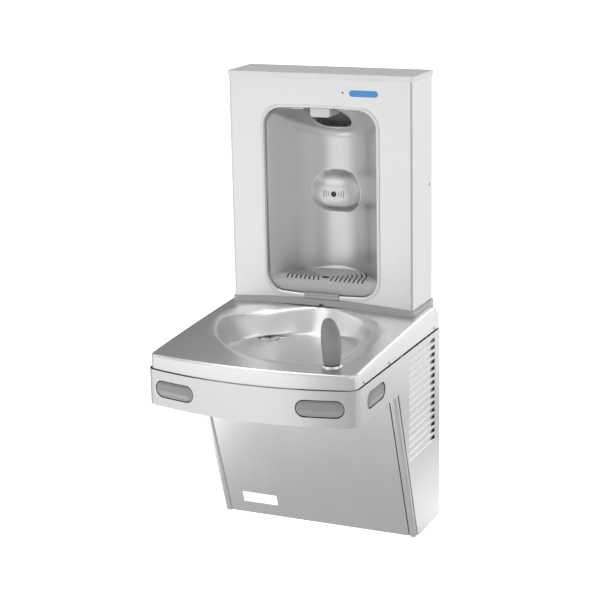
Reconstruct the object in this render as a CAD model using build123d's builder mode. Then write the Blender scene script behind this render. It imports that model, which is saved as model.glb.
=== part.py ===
from build123d import *
import math
import os

os.makedirs("parts", exist_ok=True)

# Wall-hung drinking fountain with a touch-free bottle filler on top.
# Frame: +Z up, wall plane at Y = 0, front towards -Y, +X to the right of someone
# standing at the fountain. The origin is the centre of the wall hanger's bolt pattern.
# A name ending in _rise is a height above the cabinet's bottom edge.

# ---- Overall sizes
hanger_rise = 400.0
basin_width = 465.0
basin_depth = 535.0
basin_bow = 38.0
basin_corner_radius = 25.0
cabinet_width = 472.0
filler_width = 430.0
filler_depth = 121.5
filler_top_rise = 1005.7
cap_height = 12.3
cap_overhang = 3.5
sheet = 1.2
fit_gap = 0.3

# ---- Basin
seam_rise = 443.0
deck_back_rise = 507.0
deck_middle_rise = 495.5
deck_front_rise = 477.5
deck_crown = 8.0
deck_rear_radius = 38.0
basin_wall_gap = 2.0
basin_sheet = 1.5
bowl_floor_rise = 440.0
bowl_rim = [
    (-196, -215), (-170, -330), (-75, -434), (30, -474), (112, -455),
    (150, -400), (172, -325), (160, -215), (92, -150), (-40, -128), (-155, -145),
]
bowl_floor = [
    (-152, -225), (-128, -320), (-60, -385), (30, -415), (95, -395),
    (122, -345), (138, -290), (128, -215), (75, -172), (-38, -152), (-125, -172),
]
drain_x = -93.0
drain_y = -200.0
drain_hole_radius = 16.0
drain_tube_radius = 15.9
drain_tube_wall = 1.2
trap_radius = 30.0
trap_exit_rise = 350.0
waste_tip_radius = 15.0
waste_tip_length = 6.4
waste_tip_overlap = 4.0

# ---- Bubbler
bubbler_x = 166.0
bubbler_y = -461.0
bubbler_shank_radius = 6.0
bubbler_boss_radius = 22.0
bubbler_boss_height = 3.0
bubbler_deck_lift = 0.5
guard_height = 92.0
guard_seam = 1.0

# ---- Apron and push pads
apron_bottom_rise = 366.0
apron_proud = 4.0
apron_sheet = 1.5
apron_seam_gap = 0.8
apron_back = 268.0
apron_lip = 14.0
pad_length = 98.0
pad_height = 34.0
pad_gap = 1.5
pad_rise = 404.5
pad_front_x = 163.5
pad_side_y = 397.0
pad_depth = 19.0
pad_travel = 4.0
pad_dome = 2.0
pad_edge_radius = 4.0
pad_recess = 12.0
pad_guide_clearance = 0.8
pad_guide_wall = 3.0
pad_stem_radius = 4.0
spring_radius = 7.5
spring_wire = 1.4
spring_turns = 3
switch_size = (26.0, 16.0, 14.0)
switch_entry = 2.0

# ---- Cabinet
cabinet_back_gap = 7.0
front_panel_top_rise = 372.0
front_panel_top_y = 286.0
front_panel_bottom_y = 160.0
front_panel_width = 436.0
front_panel_lift = 2.0
side_front_foot_y = 150.0
post_depth = 20.0
post_proud = 2.0
post_radius = 6.0
post_gap = 0.6
louvre_count = 15
louvre_pitch = 16.2
louvre_height = 11.5
louvre_depth = 6.0
louvre_first_rise = 193.3
louvre_back_y = 40.0
louvre_length = 166.0
nameplate_size = (85.0, 28.0, 1.0)
nameplate_x = -138.5
nameplate_rise = 45.0

# ---- Bottle filler
panel_arch = 9.5
filler_bottom_rise = 508.0
filler_return = 5.0
filler_corner_radius = 6.0
adapter_proud = 3.5
adapter_corner_radius = 9.0
adapter_rim = 14.0
notch_width = 12.0
notch_height = 6.0
alcove_half_width = 130.0
alcove_bottom_rise = 527.0
alcove_top_rise = 942.0
alcove_corner_radius = 40.0
alcove_edge_bow = 5.0
alcove_back_y = 15.0
alcove_back_radius = 110.0
trim_width = 9.5
trim_proud = 1.3
boss_rise = 740.0
boss_half_width = 56.0
boss_half_height = 46.0
boss_face_half_width = 43.0
boss_face_half_height = 27.0
boss_face_y = 46.0
sensor_radius = 6.5
sensor_length = 18.0
pocket_width = 80.0
pocket_height = 50.0
pocket_rise = 915.0
nozzle_width = 46.0
nozzle_height = 19.5
nozzle_bottom_rise = 922.0
nozzle_front_y = 117.0
nozzle_back_y = 6.0
nozzle_bore_radius = 6.0
outlet_y = 72.0
tray_rise = 563.0
tray_flat_y = 92.0
tray_sheet = 3.0
slot_rings = 8
slot_pitch = 10.5
slot_width = 3.6
slot_first_radius = 17.0
slot_half_sweep = 37.0
slot_outer_sweep = 20.0
slot_front_reach = 9.0
tray_hole_y = 97.0
tray_drain_length = 20.0
tray_drain_width = 7.0
spout_width = 82.0
spout_reach = 10.0
label_size = (66.0, 14.0, 0.6)
label_x = 104.0
label_rise = 977.0
led_x = 56.0
led_rise = 978.0
led_radius = 1.8
screw_head_radius = 3.6
screw_head_height = 1.8
screw_shank_radius = 2.0

# ---- Wall hanger
hanger_width = 380.0
hanger_height = 50.0
hanger_sheet = 2.5
hanger_bolt_x = 304.8
hanger_bolt_z = 25.4
hanger_hole_radius = 4.0
hook_gap = 0.4

# ---- Cooling and water parts
compressor_x = -112.0
compressor_y = -82.0
compressor_radius = 56.0
compressor_height = 140.0
grommet_height = 8.0
tank_x = 18.0
tank_y = -108.0
tank_radius = 58.0
tank_height = 150.0
tank_rise = 188.0
condenser_x = 205.0
condenser_size = (30.0, 140.0, 160.0)
condenser_centre_y = -98.0
condenser_rise = 200.0
fan_radius = 60.0
fan_hub_radius = 16.0
fan_thickness = 14.0
fan_clearance = 3.0
fan_shroud_sheet = 2.0
fan_motor_radius = 26.0
fan_motor_length = 42.0
fan_shaft_radius = 3.0
tube_radius = 3.2
inlet_x = 120.0
inlet_y = 62.0
inlet_rise = 354.0
inlet_radius = 9.5
filler_line_x = 172.0
riser_x = 138.0
line_y = 50.0
line_bend = 14.0
valve_size = (34.0, 30.0, 46.0)
filler_valve_rise = 670.0
control_size = (56.0, 44.0, 90.0)
control_x = -160.0
control_rise = 245.0
dial_radius = 14.0
dial_height = 8.0
dial_spindle_radius = 3.0
running_gap = 0.05
power_inlet_size = (30.0, 24.0, 26.0)
inlet_opening = (power_inlet_size[0] + 2 * fit_gap, power_inlet_size[1] + 2 * fit_gap)
power_inlet_x = -30.0
power_inlet_y = 60.0

# ---- Levels and half sizes worked out from the sizes above
bottom_z = -hanger_rise
seam_z = bottom_z + seam_rise
filler_bottom_z = bottom_z + filler_bottom_rise
filler_top_z = bottom_z + filler_top_rise
apron_bottom_z = bottom_z + apron_bottom_rise
apron_top_z = seam_z - apron_seam_gap
tray_z = bottom_z + tray_rise
basin_half = basin_width / 2
cabinet_half = cabinet_width / 2
filler_half = filler_width / 2
apron_half = basin_half + apron_proud
apron_front = basin_depth + apron_proud
bow_radius = (apron_half**2 + basin_bow**2) / (2 * basin_bow)
pan_z = bottom_z + front_panel_lift


def bowed_plan(plane, half_width, back, front, corner):
    """Plan outline with straight back and sides, a bowed front and rounded front corners."""
    with BuildSketch(plane) as plan:
        with BuildLine():
            shoulder = basin_bow - front
            Polyline(
                (half_width, shoulder), (half_width, -back), (-half_width, -back), (-half_width, shoulder)
            )
            ThreePointArc((-half_width, shoulder), (0, -front), (half_width, shoulder))
        make_face()
        fillet(plan.vertices().sort_by(Axis.Y)[:2], corner)
    return plan.sketch


def crowned_block(drop):
    """Block whose top is the deck's surface, crowned sideways and falling to the front."""
    crown_radius = (basin_half**2 + deck_crown**2) / (2 * deck_crown)
    axis_z = bottom_z + deck_back_rise - crown_radius
    half_angle = math.degrees(1.4 * basin_half / crown_radius)
    lean = math.radians(half_angle)
    slice_plane = Plane(
        origin=(0, 0, axis_z), x_dir=(0, 1, 0), z_dir=(math.cos(lean), 0, math.sin(lean))
    )
    back = crown_radius - drop
    middle = back + deck_middle_rise - deck_back_rise
    front = back + deck_front_rise - deck_back_rise
    floor = crown_radius - 200
    with BuildPart() as block:
        with BuildSketch(slice_plane):
            with BuildLine():
                ThreePointArc((0, back), (-basin_depth / 2, middle), (-basin_depth, front))
                Polyline((-basin_depth, front), (-basin_depth, floor), (0, floor), (0, back))
            make_face()
        revolve(axis=Axis((0, 0, axis_z), (0, 1, 0)), revolution_arc=2 * half_angle)
    return block.part


def basin_block(inset, low):
    """The basin's outer form, or its hollow when inset by the sheet's thickness."""
    with BuildPart() as block:
        outline = bowed_plan(
            Plane.XY.offset(low),
            basin_half - inset,
            basin_wall_gap + inset,
            basin_depth - inset,
            basin_corner_radius - inset,
        )
        extrude(outline, amount=150)
        add(crowned_block(inset), mode=Mode.INTERSECT)
        rear_edge = block.faces().sort_by(Axis.Y)[-1].edges().sort_by(Axis.Z)[-1]
        fillet(rear_edge, deck_rear_radius - inset)
    return block.part


def closed_outline(plane, points, grow):
    """Smooth closed outline through a few points, each moved outwards from their middle."""
    middle = sum((Vector(*point) for point in points), Vector()) / len(points)
    moved = []
    for point in points:
        spoke = Vector(*point) - middle
        moved.append(Vector(*point) + spoke.normalized() * grow)
    with BuildSketch(plane) as outline:
        with BuildLine():
            Spline(*moved, periodic=True)
        make_face()
    return outline.sketch


def bowl_block(grow):
    """The bowl's hollow, or its outside when grown by the sheet's thickness."""
    floor_z = bottom_z + bowl_floor_rise - grow
    mouth_z = bottom_z + deck_back_rise + 2
    with BuildPart() as block:
        rim = closed_outline(Plane.XY.offset(mouth_z), bowl_rim, grow)
        base = closed_outline(Plane.XY.offset(floor_z), bowl_floor, grow)
        loft([base.face(), rim.face()])
    return block.part


def arched_block():
    """Everything below the arch that the bottle filler's lower edge follows."""
    with BuildPart() as block:
        with BuildSketch(Plane.XZ.offset(-20)):
            with BuildLine():
                low = seam_z - 10
                end_z = filler_bottom_z
                Polyline((filler_half + 30, end_z), (filler_half + 30, low), (-filler_half - 30, low),
                         (-filler_half - 30, end_z), (-filler_half, end_z))
                ThreePointArc((-filler_half, end_z), (0, end_z + panel_arch), (filler_half, end_z))
                Line((filler_half, end_z), (filler_half + 30, end_z))
            make_face()
        extrude(amount=filler_depth + 60)
    return block.part


def alcove_outline(plane, grow):
    """Front view of the bottle alcove: bowed top and bottom edges, rounded corners."""
    half = alcove_half_width + grow
    low = bottom_z + alcove_bottom_rise - grow
    high = bottom_z + alcove_top_rise + grow
    with BuildSketch(plane) as outline:
        with BuildLine():
            ThreePointArc((-half, low + alcove_edge_bow), (0, low), (half, low + alcove_edge_bow))
            Line((half, low + alcove_edge_bow), (half, high - alcove_edge_bow))
            ThreePointArc((half, high - alcove_edge_bow), (0, high), (-half, high - alcove_edge_bow))
            Line((-half, high - alcove_edge_bow), (-half, low + alcove_edge_bow))
        make_face()
        fillet(outline.vertices(), alcove_corner_radius + grow)
    return outline.sketch


def alcove_plan(plane, grow, front):
    """Plan of the alcove: two walls that run back and meet in one wide round back."""
    apex_y = -alcove_back_y - alcove_back_radius
    side_y = 8.0 - filler_depth
    reach = math.hypot(alcove_half_width, side_y - apex_y)
    turn = math.atan2(side_y - apex_y, alcove_half_width) + math.acos(alcove_back_radius / reach)
    radius = alcove_back_radius + grow
    touch_x = radius * math.cos(turn)
    touch_y = apex_y + radius * math.sin(turn)
    half = alcove_half_width + grow
    with BuildSketch(plane) as plan:
        with BuildLine():
            ThreePointArc((touch_x, touch_y), (0, apex_y + radius), (-touch_x, touch_y))
            Polyline((-touch_x, touch_y), (-half, side_y), (-half, -front), (half, -front),
                     (half, side_y), (touch_x, touch_y))
        make_face()
    return plan.sketch


def boss_block(shrink):
    """The bulge on the alcove's back wall that carries the bottle sensor."""
    with BuildPart() as block:
        with BuildSketch(Plane.XZ.offset(alcove_back_y - 4)):
            with Locations((0, bottom_z + boss_rise)):
                Ellipse(boss_half_width - shrink, boss_half_height - shrink)
        with BuildSketch(Plane.XZ.offset(boss_face_y - shrink)) as face:
            with Locations((0, bottom_z + boss_rise)):
                Ellipse(boss_face_half_width - shrink, boss_face_half_height - shrink)
        loft()
    return block.part


def alcove_block(grow):
    """The bottle alcove's hollow, or its outside when grown by the liner's thickness."""
    front = filler_depth + (10 if grow == 0 else 0)
    with BuildPart() as block:
        extrude(alcove_plan(Plane.XY.offset(bottom_z + alcove_bottom_rise - 20), grow, front), amount=480)
        extrude(alcove_outline(Plane.XZ.offset(-5), grow), amount=filler_depth + 30, mode=Mode.INTERSECT)
        add(boss_block(grow), mode=Mode.SUBTRACT)
    return block.part


def scoop_block(drop):
    """Space above the drip tray: flat at the back, dished towards the alcove's lower edge."""
    half = alcove_half_width + 2
    top = tray_z + 60
    flat = tray_z - drop
    lip = bottom_z + alcove_bottom_rise + tray_sheet + 0.5 - drop
    with BuildPart() as block:
        with BuildSketch(Plane.XZ.offset(filler_depth + 6)):
            with BuildLine():
                Polyline((half, flat), (half, top), (-half, top), (-half, flat))
                ThreePointArc((-half, flat), (0, lip), (half, flat))
            make_face()
        with BuildSketch(Plane.XZ.offset(tray_flat_y)):
            with BuildLine():
                Polyline((half, flat), (half, top), (-half, top), (-half, flat))
                ThreePointArc((-half, flat), (0, flat - 0.5), (half, flat))
            make_face()
        loft()
        with BuildSketch(Plane.XY.offset(flat)):
            with Locations((0, -tray_flat_y / 2)):
                Rectangle(2 * half, tray_flat_y)
        extrude(amount=top - flat)
    return block.part


def bent_tube(points, bend, radius, bore=0):
    """Tube along straight runs joined by tangent arcs."""
    with BuildPart() as tube:
        with BuildLine() as path:
            FilletPolyline(*points, radius=bend)
        with BuildSketch(Plane(origin=path.line @ 0, z_dir=path.line % 0)):
            Circle(radius)
            if bore:
                Circle(bore, mode=Mode.SUBTRACT)
        sweep(path=path.line)
    return tube.part


basin_screw_places = [
    Plane((side * basin_half, -along, seam_z + 6.5), z_dir=(side, 0, 0))
    for side in (-1, 1)
    for along in (33, 312, 454)
]


def screw_at(place, head_radius, head_height, shank_length):
    """Round-headed screw, its head standing on the given plane."""
    with BuildPart() as screw:
        with BuildSketch(place):
            Circle(head_radius)
        extrude(amount=head_height, taper=12)
        with BuildSketch(place):
            Circle(screw_shank_radius)
        extrude(amount=-shank_length)
    return screw.part



# ---- Basin: deck, skirt and bowl pressed from one sheet
under_bowl = bottom_z + bowl_floor_rise - 10
basin_outer = basin_block(0, seam_z)
basin_reach = basin_block(0, under_bowl)
basin_hollow = basin_block(basin_sheet, under_bowl)
bowl_hollow = bowl_block(0)
bowl_outside = bowl_block(basin_sheet)
with BuildPart() as basin:
    add(basin_reach)
    add(bowl_outside, mode=Mode.INTERSECT)
    add(basin_outer)
    add(basin_hollow - bowl_outside, mode=Mode.SUBTRACT)
    add(bowl_hollow, mode=Mode.SUBTRACT)
    with Locations((drain_x, drain_y, bottom_z + bowl_floor_rise)):
        Cylinder(drain_hole_radius, 20, mode=Mode.SUBTRACT)
    with Locations((bubbler_x, bubbler_y, bottom_z + deck_front_rise)):
        Cylinder(bubbler_shank_radius + fit_gap, 60, mode=Mode.SUBTRACT)
    with Locations((filler_line_x, -line_y, bottom_z + deck_back_rise)):
        Cylinder(tube_radius + 2, 40, mode=Mode.SUBTRACT)
    for place in basin_screw_places:
        with BuildSketch(place.offset(1)):
            Circle(screw_shank_radius + fit_gap)
        extrude(amount=-8, mode=Mode.SUBTRACT)
basin.part.label = "basin"
export_step(basin.part, "parts/basin.step")

# ---- Drain: strainer, tailpiece and trap to the wall
floor_z = bottom_z + bowl_floor_rise
with BuildPart() as drain_strainer:
    with BuildSketch(Plane.XY.offset(floor_z)):
        with Locations((drain_x, drain_y)):
            Circle(drain_hole_radius + 5)
    extrude(amount=1.5)
    with BuildSketch(Plane.XY.offset(floor_z)):
        with Locations((drain_x, drain_y)):
            Circle(drain_hole_radius - 1)
    extrude(amount=-12)
    with BuildSketch(Plane.XY.offset(floor_z)):
        with Locations((drain_x, drain_y)):
            Circle(drain_hole_radius - 3)
    extrude(amount=-12, mode=Mode.SUBTRACT)
    with BuildSketch(Plane.XY.offset(floor_z + 1.5)):
        with Locations((drain_x, drain_y)):
            with PolarLocations(0, 6):
                SlotCenterPoint((6, 0), (11, 0), 3)
    extrude(amount=-1.5, mode=Mode.SUBTRACT)
drain_strainer.part.label = "drain_strainer"
export_step(drain_strainer.part, "parts/drain_strainer.step")

tail_top_z = floor_z - basin_sheet
tail_length = 34.0
with BuildPart() as drain_nut:
    with BuildSketch(Plane.XY.offset(tail_top_z)):
        with Locations((drain_x, drain_y)):
            RegularPolygon(drain_hole_radius + 11, 8)
            Circle(drain_hole_radius, mode=Mode.SUBTRACT)
    extrude(amount=-16)
    with BuildSketch(Plane.XY.offset(tail_top_z - 16)):
        with Locations((drain_x, drain_y)):
            Circle(drain_tube_radius + 3)
            Circle(drain_tube_radius, mode=Mode.SUBTRACT)
    extrude(amount=16 - tail_length)
drain_nut.part.label = "drain_nut"
export_step(drain_nut.part, "parts/drain_nut.step")

trap_bottom_z = bottom_z + trap_exit_rise - 2 * trap_radius - 26
trap_riser_y = drain_y + 2 * trap_radius + 4
trap_path = [
    (drain_x, drain_y, tail_top_z - 18),
    (drain_x, drain_y, trap_bottom_z),
    (drain_x, trap_riser_y, trap_bottom_z),
    (drain_x, trap_riser_y, bottom_z + trap_exit_rise),
    (drain_x, -waste_tip_length, bottom_z + trap_exit_rise),
]
trap_tube = bent_tube(trap_path, trap_radius, drain_tube_radius, drain_tube_radius - drain_tube_wall)
with BuildPart() as drain_trap:
    add(trap_tube)
    with BuildSketch(Plane.XZ):
        with Locations((drain_x, bottom_z + trap_exit_rise)):
            Circle(waste_tip_radius)
            Circle(waste_tip_radius - drain_tube_wall, mode=Mode.SUBTRACT)
    extrude(amount=waste_tip_length + waste_tip_overlap)
drain_trap.part.label = "drain_trap"
export_step(drain_trap.part, "parts/drain_trap.step")

# ---- Bubbler: boss on the deck, spout and its hood guard
deck_here = bottom_z + deck_front_rise + bubbler_deck_lift
with BuildPart() as bubbler_base:
    with BuildSketch(Plane.XY.offset(deck_here + bubbler_boss_height)):
        with Locations((bubbler_x, bubbler_y)):
            Circle(bubbler_boss_radius - 3)
    with BuildSketch(Plane.XY.offset(deck_here - bubbler_boss_height)):
        with Locations((bubbler_x, bubbler_y)):
            Circle(bubbler_boss_radius + 2)
    loft()
    add(basin_outer, mode=Mode.SUBTRACT)
    with Locations((bubbler_x, bubbler_y, deck_here)):
        Cylinder(bubbler_shank_radius + fit_gap, 40, mode=Mode.SUBTRACT)
bubbler_base.part.label = "bubbler_base"
export_step(bubbler_base.part, "parts/bubbler_base.step")

boss_top_z = deck_here + bubbler_boss_height
to_drain = math.degrees(math.atan2(drain_y - bubbler_y, drain_x - bubbler_x))
guard_frame = Plane((bubbler_x, bubbler_y, boss_top_z), x_dir=Vector(1, 0, 0).rotate(Axis.Z, to_drain))
guard_sections = [
    (guard_seam, 0, 18, 17), (12, 1, 20, 19), (30, 3, 24, 21), (52, 5, 24, 20),
    (72, 7, 20, 17), (86, 9, 13, 11), (guard_height, 10, 6, 5),
]
with BuildPart() as bubbler_guard:
    for height, lean, half_length, half_width in guard_sections:
        with BuildSketch(guard_frame.offset(height)):
            with Locations((lean, 0)):
                Ellipse(half_length, half_width)
    loft()
    with BuildSketch(guard_frame.offset(guard_seam)):
        Circle(bubbler_shank_radius + 4)
    extrude(amount=29, mode=Mode.SUBTRACT)
    with BuildSketch(guard_frame.offset(14)):
        with Locations((24, 0)):
            Rectangle(48, 14)
    extrude(amount=18, mode=Mode.SUBTRACT)
bubbler_guard.part.label = "bubbler_guard"
export_step(bubbler_guard.part, "parts/bubbler_guard.step")

with BuildPart() as bubbler_spout:
    with BuildSketch(guard_frame):
        Circle(bubbler_shank_radius + 3)
    extrude(amount=20)
    with BuildSketch(guard_frame.offset(20)):
        with Locations((7, 0)):
            RectangleRounded(30, 11, 3)
    extrude(amount=8)
    with BuildSketch(guard_frame):
        Circle(bubbler_shank_radius)
    extrude(amount=-46)
    with BuildSketch(Plane(guard_frame.origin + (0, 0, 24), x_dir=(0, 0, 1), z_dir=guard_frame.x_dir)):
        Circle(2.5)
    extrude(amount=40, mode=Mode.SUBTRACT)
bubbler_spout.part.label = "bubbler_spout"
export_step(bubbler_spout.part, "parts/bubbler_spout.step")

# ---- Apron: wrap-around band under the basin that carries the four push pads
def apron_block(inset, low, high):
    """The apron's outer form, or its inside when inset."""
    outline = bowed_plan(
        Plane.XY.offset(low), apron_half - inset, apron_back, apron_front - inset,
        basin_corner_radius + apron_proud - inset,
    )
    return extrude(outline, amount=high - low)


def pad_plane(x, side):
    """Plane on the apron's face: origin at the pad's centre, z_dir pointing outwards."""
    z = bottom_z + pad_rise
    if side:
        return Plane((side * apron_half, -pad_side_y, z), x_dir=(0, side, 0), z_dir=(side, 0, 0))
    turn = math.asin(x / bow_radius)
    y = bow_radius * (1 - math.cos(turn)) - apron_front
    return Plane((x, y, z), x_dir=(math.cos(turn), math.sin(turn), 0),
                 z_dir=(math.sin(turn), -math.cos(turn), 0))


def stadium(place, grow):
    """Pad-shaped outline with round ends."""
    with BuildSketch(place) as outline:
        SlotOverall(pad_length + 2 * grow, pad_height + 2 * grow)
    return outline.sketch


pad_places = {
    "front_left": pad_plane(-pad_front_x, 0),
    "front_right": pad_plane(pad_front_x, 0),
    "side_left": pad_plane(0, -1),
    "side_right": pad_plane(0, 1),
}
guide_depth = pad_depth + pad_recess
apron_outer = apron_block(0, apron_bottom_z, apron_top_z)
apron_inside = apron_block(apron_sheet, apron_bottom_z + apron_sheet, apron_top_z)
apron_mouth = apron_block(apron_sheet + apron_lip, apron_bottom_z, apron_top_z)
with BuildPart() as apron:
    add(apron_outer)
    add(apron_inside, mode=Mode.SUBTRACT)
    add(apron_mouth, mode=Mode.SUBTRACT)
    for place in pad_places.values():
        extrude(stadium(place.offset(6), pad_gap), amount=-16, mode=Mode.SUBTRACT)
apron.part.label = "apron"
export_step(apron.part, "parts/apron.step")

with BuildPart() as pad_guides:
    for place in pad_places.values():
        extrude(stadium(place, pad_gap + pad_guide_wall), amount=-guide_depth)
    add(apron_inside, mode=Mode.INTERSECT)
    for place in pad_places.values():
        extrude(stadium(place, pad_guide_clearance), amount=pad_guide_wall - guide_depth, mode=Mode.SUBTRACT)
        with BuildSketch(place.offset(-guide_depth)):
            Circle(pad_stem_radius + fit_gap)
        extrude(amount=pad_guide_wall, mode=Mode.SUBTRACT)
pad_guides.part.label = "pad_guides"
export_step(pad_guides.part, "parts/pad_guides.step")

switch_width, switch_height, switch_depth = switch_size
with BuildPart() as pad_switches:
    for place in pad_places.values():
        back = place.offset(-guide_depth)
        with BuildSketch(back):
            Rectangle(switch_width, switch_height)
        extrude(amount=-switch_depth)
        with BuildSketch(back):
            Circle(pad_stem_radius + fit_gap)
        extrude(amount=-switch_entry - pad_travel - 1, mode=Mode.SUBTRACT)
pad_switches.part.label = "pad_switches"
export_step(pad_switches.part, "parts/pad_switches.step")

for side, place in pad_places.items():
    with BuildPart() as push_pad:
        extrude(stadium(place.offset(-pad_depth), 0), amount=pad_depth + pad_dome)
        fillet(push_pad.faces().sort_by(Axis(place.origin, place.z_dir))[-1].edges(), pad_edge_radius)
        with BuildSketch(place.offset(-pad_depth)):
            Circle(pad_stem_radius)
        extrude(amount=pad_depth - guide_depth - switch_entry)
    push_pad.part.label = "push_pad_" + side
    export_step(push_pad.part, "parts/push_pad_" + side + ".step")

    spring_seat = place.offset(pad_guide_wall - guide_depth)
    with BuildPart() as pad_spring:
        with BuildLine():
            coil_height = pad_recess - pad_guide_wall - spring_wire
            coil = Helix(coil_height / spring_turns, coil_height, spring_radius,
                         center=spring_seat.offset(spring_wire / 2).origin, direction=place.z_dir)
        with BuildSketch(Plane(coil @ 0, z_dir=coil % 0)):
            Circle(spring_wire / 2)
        sweep()
    pad_spring.part.label = "pad_spring_" + side
    export_step(pad_spring.part, "parts/pad_spring_" + side + ".step")

# ---- Screws along the basin's skirt
with BuildPart() as basin_screws:
    for place in basin_screw_places:
        add(screw_at(place, screw_head_radius, screw_head_height, 8))
basin_screws.part.label = "basin_screws"
export_step(basin_screws.part, "parts/basin_screws.step")

# ---- Cabinet side panels with pressed louvres
def louvre_profile(place):
    """Section of one louvre: a long slope inwards and a short step back out."""
    with BuildSketch(place) as profile:
        with BuildLine():
            Polyline((0, 0), (-louvre_depth, 3), (0, louvre_height), (-sheet, louvre_height),
                     (-louvre_depth - sheet, 3), (-sheet, 0), (0, 0))
        make_face()
    return profile.sketch


def side_panel_at(side):
    """One side panel: sloped front edge, louvres along its back half, folded back edge."""
    outside = side * cabinet_half
    with BuildPart() as panel:
        with BuildSketch(Plane.YZ.offset(outside)) as face:
            Polygon(
                (-cabinet_back_gap, bottom_z), (-cabinet_back_gap, apron_top_z),
                (-apron_back + fit_gap, apron_top_z), (-apron_back + fit_gap, apron_bottom_z),
                (-side_front_foot_y, bottom_z), align=None,
            )
        extrude(amount=-side * sheet)
        with BuildSketch(Plane.YZ.offset(outside)):
            with Locations((-cabinet_back_gap - sheet / 2, (bottom_z + apron_top_z) / 2)):
                Rectangle(sheet, apron_top_z - bottom_z)
        extrude(amount=-side * 14)
        for row in range(louvre_count):
            low = bottom_z + louvre_first_rise + row * louvre_pitch
            middle_y = -louvre_back_y - louvre_length / 2
            with BuildSketch(Plane.YZ.offset(outside)):
                with Locations((middle_y, low + louvre_height / 2)):
                    Rectangle(louvre_length, louvre_height)
            extrude(amount=-side * sheet, mode=Mode.SUBTRACT)
            place = Plane((outside, -louvre_back_y, low), x_dir=(side, 0, 0), z_dir=(0, -side, 0))
            blade = louvre_profile(place)
            extrude(blade, amount=side * louvre_length)
    return panel.part


with BuildPart() as side_panel_left:
    add(side_panel_at(-1))
side_panel_left.part.label = "side_panel_left"
export_step(side_panel_left.part, "parts/side_panel_left.step")

with BuildPart() as side_panel_right:
    add(side_panel_at(1))
side_panel_right.part.label = "side_panel_right"
export_step(side_panel_right.part, "parts/side_panel_right.step")

# ---- Lower front: sloped panel between two round-edged posts
slope = math.atan2(front_panel_top_y - front_panel_bottom_y, front_panel_top_rise - front_panel_lift)
panel_length = (front_panel_top_rise - front_panel_lift) / math.cos(slope)
front_plane = Plane(
    (0, -front_panel_bottom_y, pan_z), x_dir=(1, 0, 0), z_dir=(0, -math.cos(slope), -math.sin(slope))
)
with BuildPart() as front_panel:
    with BuildSketch(front_plane):
        with Locations((0, panel_length / 2)):
            Rectangle(front_panel_width, panel_length)
    extrude(amount=-sheet)
    with BuildSketch(front_plane):
        for side in (-1, 1):
            with Locations((side * (front_panel_width / 2 - sheet / 2), panel_length / 2)):
                Rectangle(sheet, panel_length)
    extrude(amount=-12)
front_panel.part.label = "front_panel"
export_step(front_panel.part, "parts/front_panel.step")

with BuildPart() as corner_posts:
    for side in (-1, 1):
        inner = front_panel_width / 2 + post_gap
        outer = cabinet_half - sheet - fit_gap
        post_foot = front_plane.origin - front_plane.y_dir * 1.0
        foot = Plane(post_foot, x_dir=(1, 0, 0), z_dir=front_plane.y_dir)
        with BuildSketch(foot):
            with Locations((side * (inner + outer) / 2, post_depth / 2 - post_proud)):
                RectangleRounded(outer - inner, post_depth, post_radius)
                RectangleRounded(
                    outer - inner - 2 * sheet, post_depth - 2 * sheet, post_radius - sheet, mode=Mode.SUBTRACT
                )
        extrude(amount=panel_length)
    split(bisect_by=Plane.XY.offset(apron_bottom_z - fit_gap), keep=Keep.BOTTOM)
corner_posts.part.label = "corner_posts"
export_step(corner_posts.part, "parts/corner_posts.step")

plate_width, plate_height, plate_sheet = nameplate_size
with BuildPart() as nameplate:
    with BuildSketch(front_plane):
        with Locations((nameplate_x, nameplate_rise / math.cos(slope))):
            RectangleRounded(plate_width, plate_height, 1.5)
    extrude(amount=plate_sheet)
nameplate.part.label = "nameplate"
export_step(nameplate.part, "parts/nameplate.step")

# ---- Back panel, bottom pan and wall hanger
inner_half = cabinet_half - sheet - fit_gap
back_front_y = -cabinet_back_gap - 2 * sheet - fit_gap
back_rear_y = back_front_y + sheet
back_top_z = seam_z - 4
hook_sheet = 1.5
flange_height = 13.0
hanger_top_z = hanger_height / 2
flange_front_y = -hanger_sheet - hook_sheet - 2 * hook_gap
hook_top_z = hanger_top_z + flange_height + hook_gap
exit_z = bottom_z + trap_exit_rise
inlet_z = bottom_z + inlet_rise
with BuildPart() as back_panel:
    with BuildSketch(Plane.XZ.offset(-back_rear_y)):
        with Locations((0, (pan_z + back_top_z) / 2)):
            Rectangle(2 * inner_half, back_top_z - pan_z)
        with Locations((drain_x, exit_z)):
            Circle(drain_tube_radius + 2, mode=Mode.SUBTRACT)
        with Locations((inlet_x, inlet_z)):
            Circle(inlet_radius + fit_gap, mode=Mode.SUBTRACT)
    extrude(amount=sheet)
    with BuildSketch(Plane.YZ.offset(20 - hanger_width / 2)):
        with Locations((-hook_gap - hook_sheet / 2, (hanger_top_z + 1 + hook_top_z + hook_sheet) / 2)):
            Rectangle(hook_sheet, hook_top_z + hook_sheet - hanger_top_z - 1)
        with Locations(((back_rear_y - hook_gap) / 2, hook_top_z + hook_sheet / 2)):
            Rectangle(-hook_gap - back_rear_y, hook_sheet)
    extrude(amount=hanger_width - 40)
back_panel.part.label = "back_panel"
export_step(back_panel.part, "parts/back_panel.step")

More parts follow.
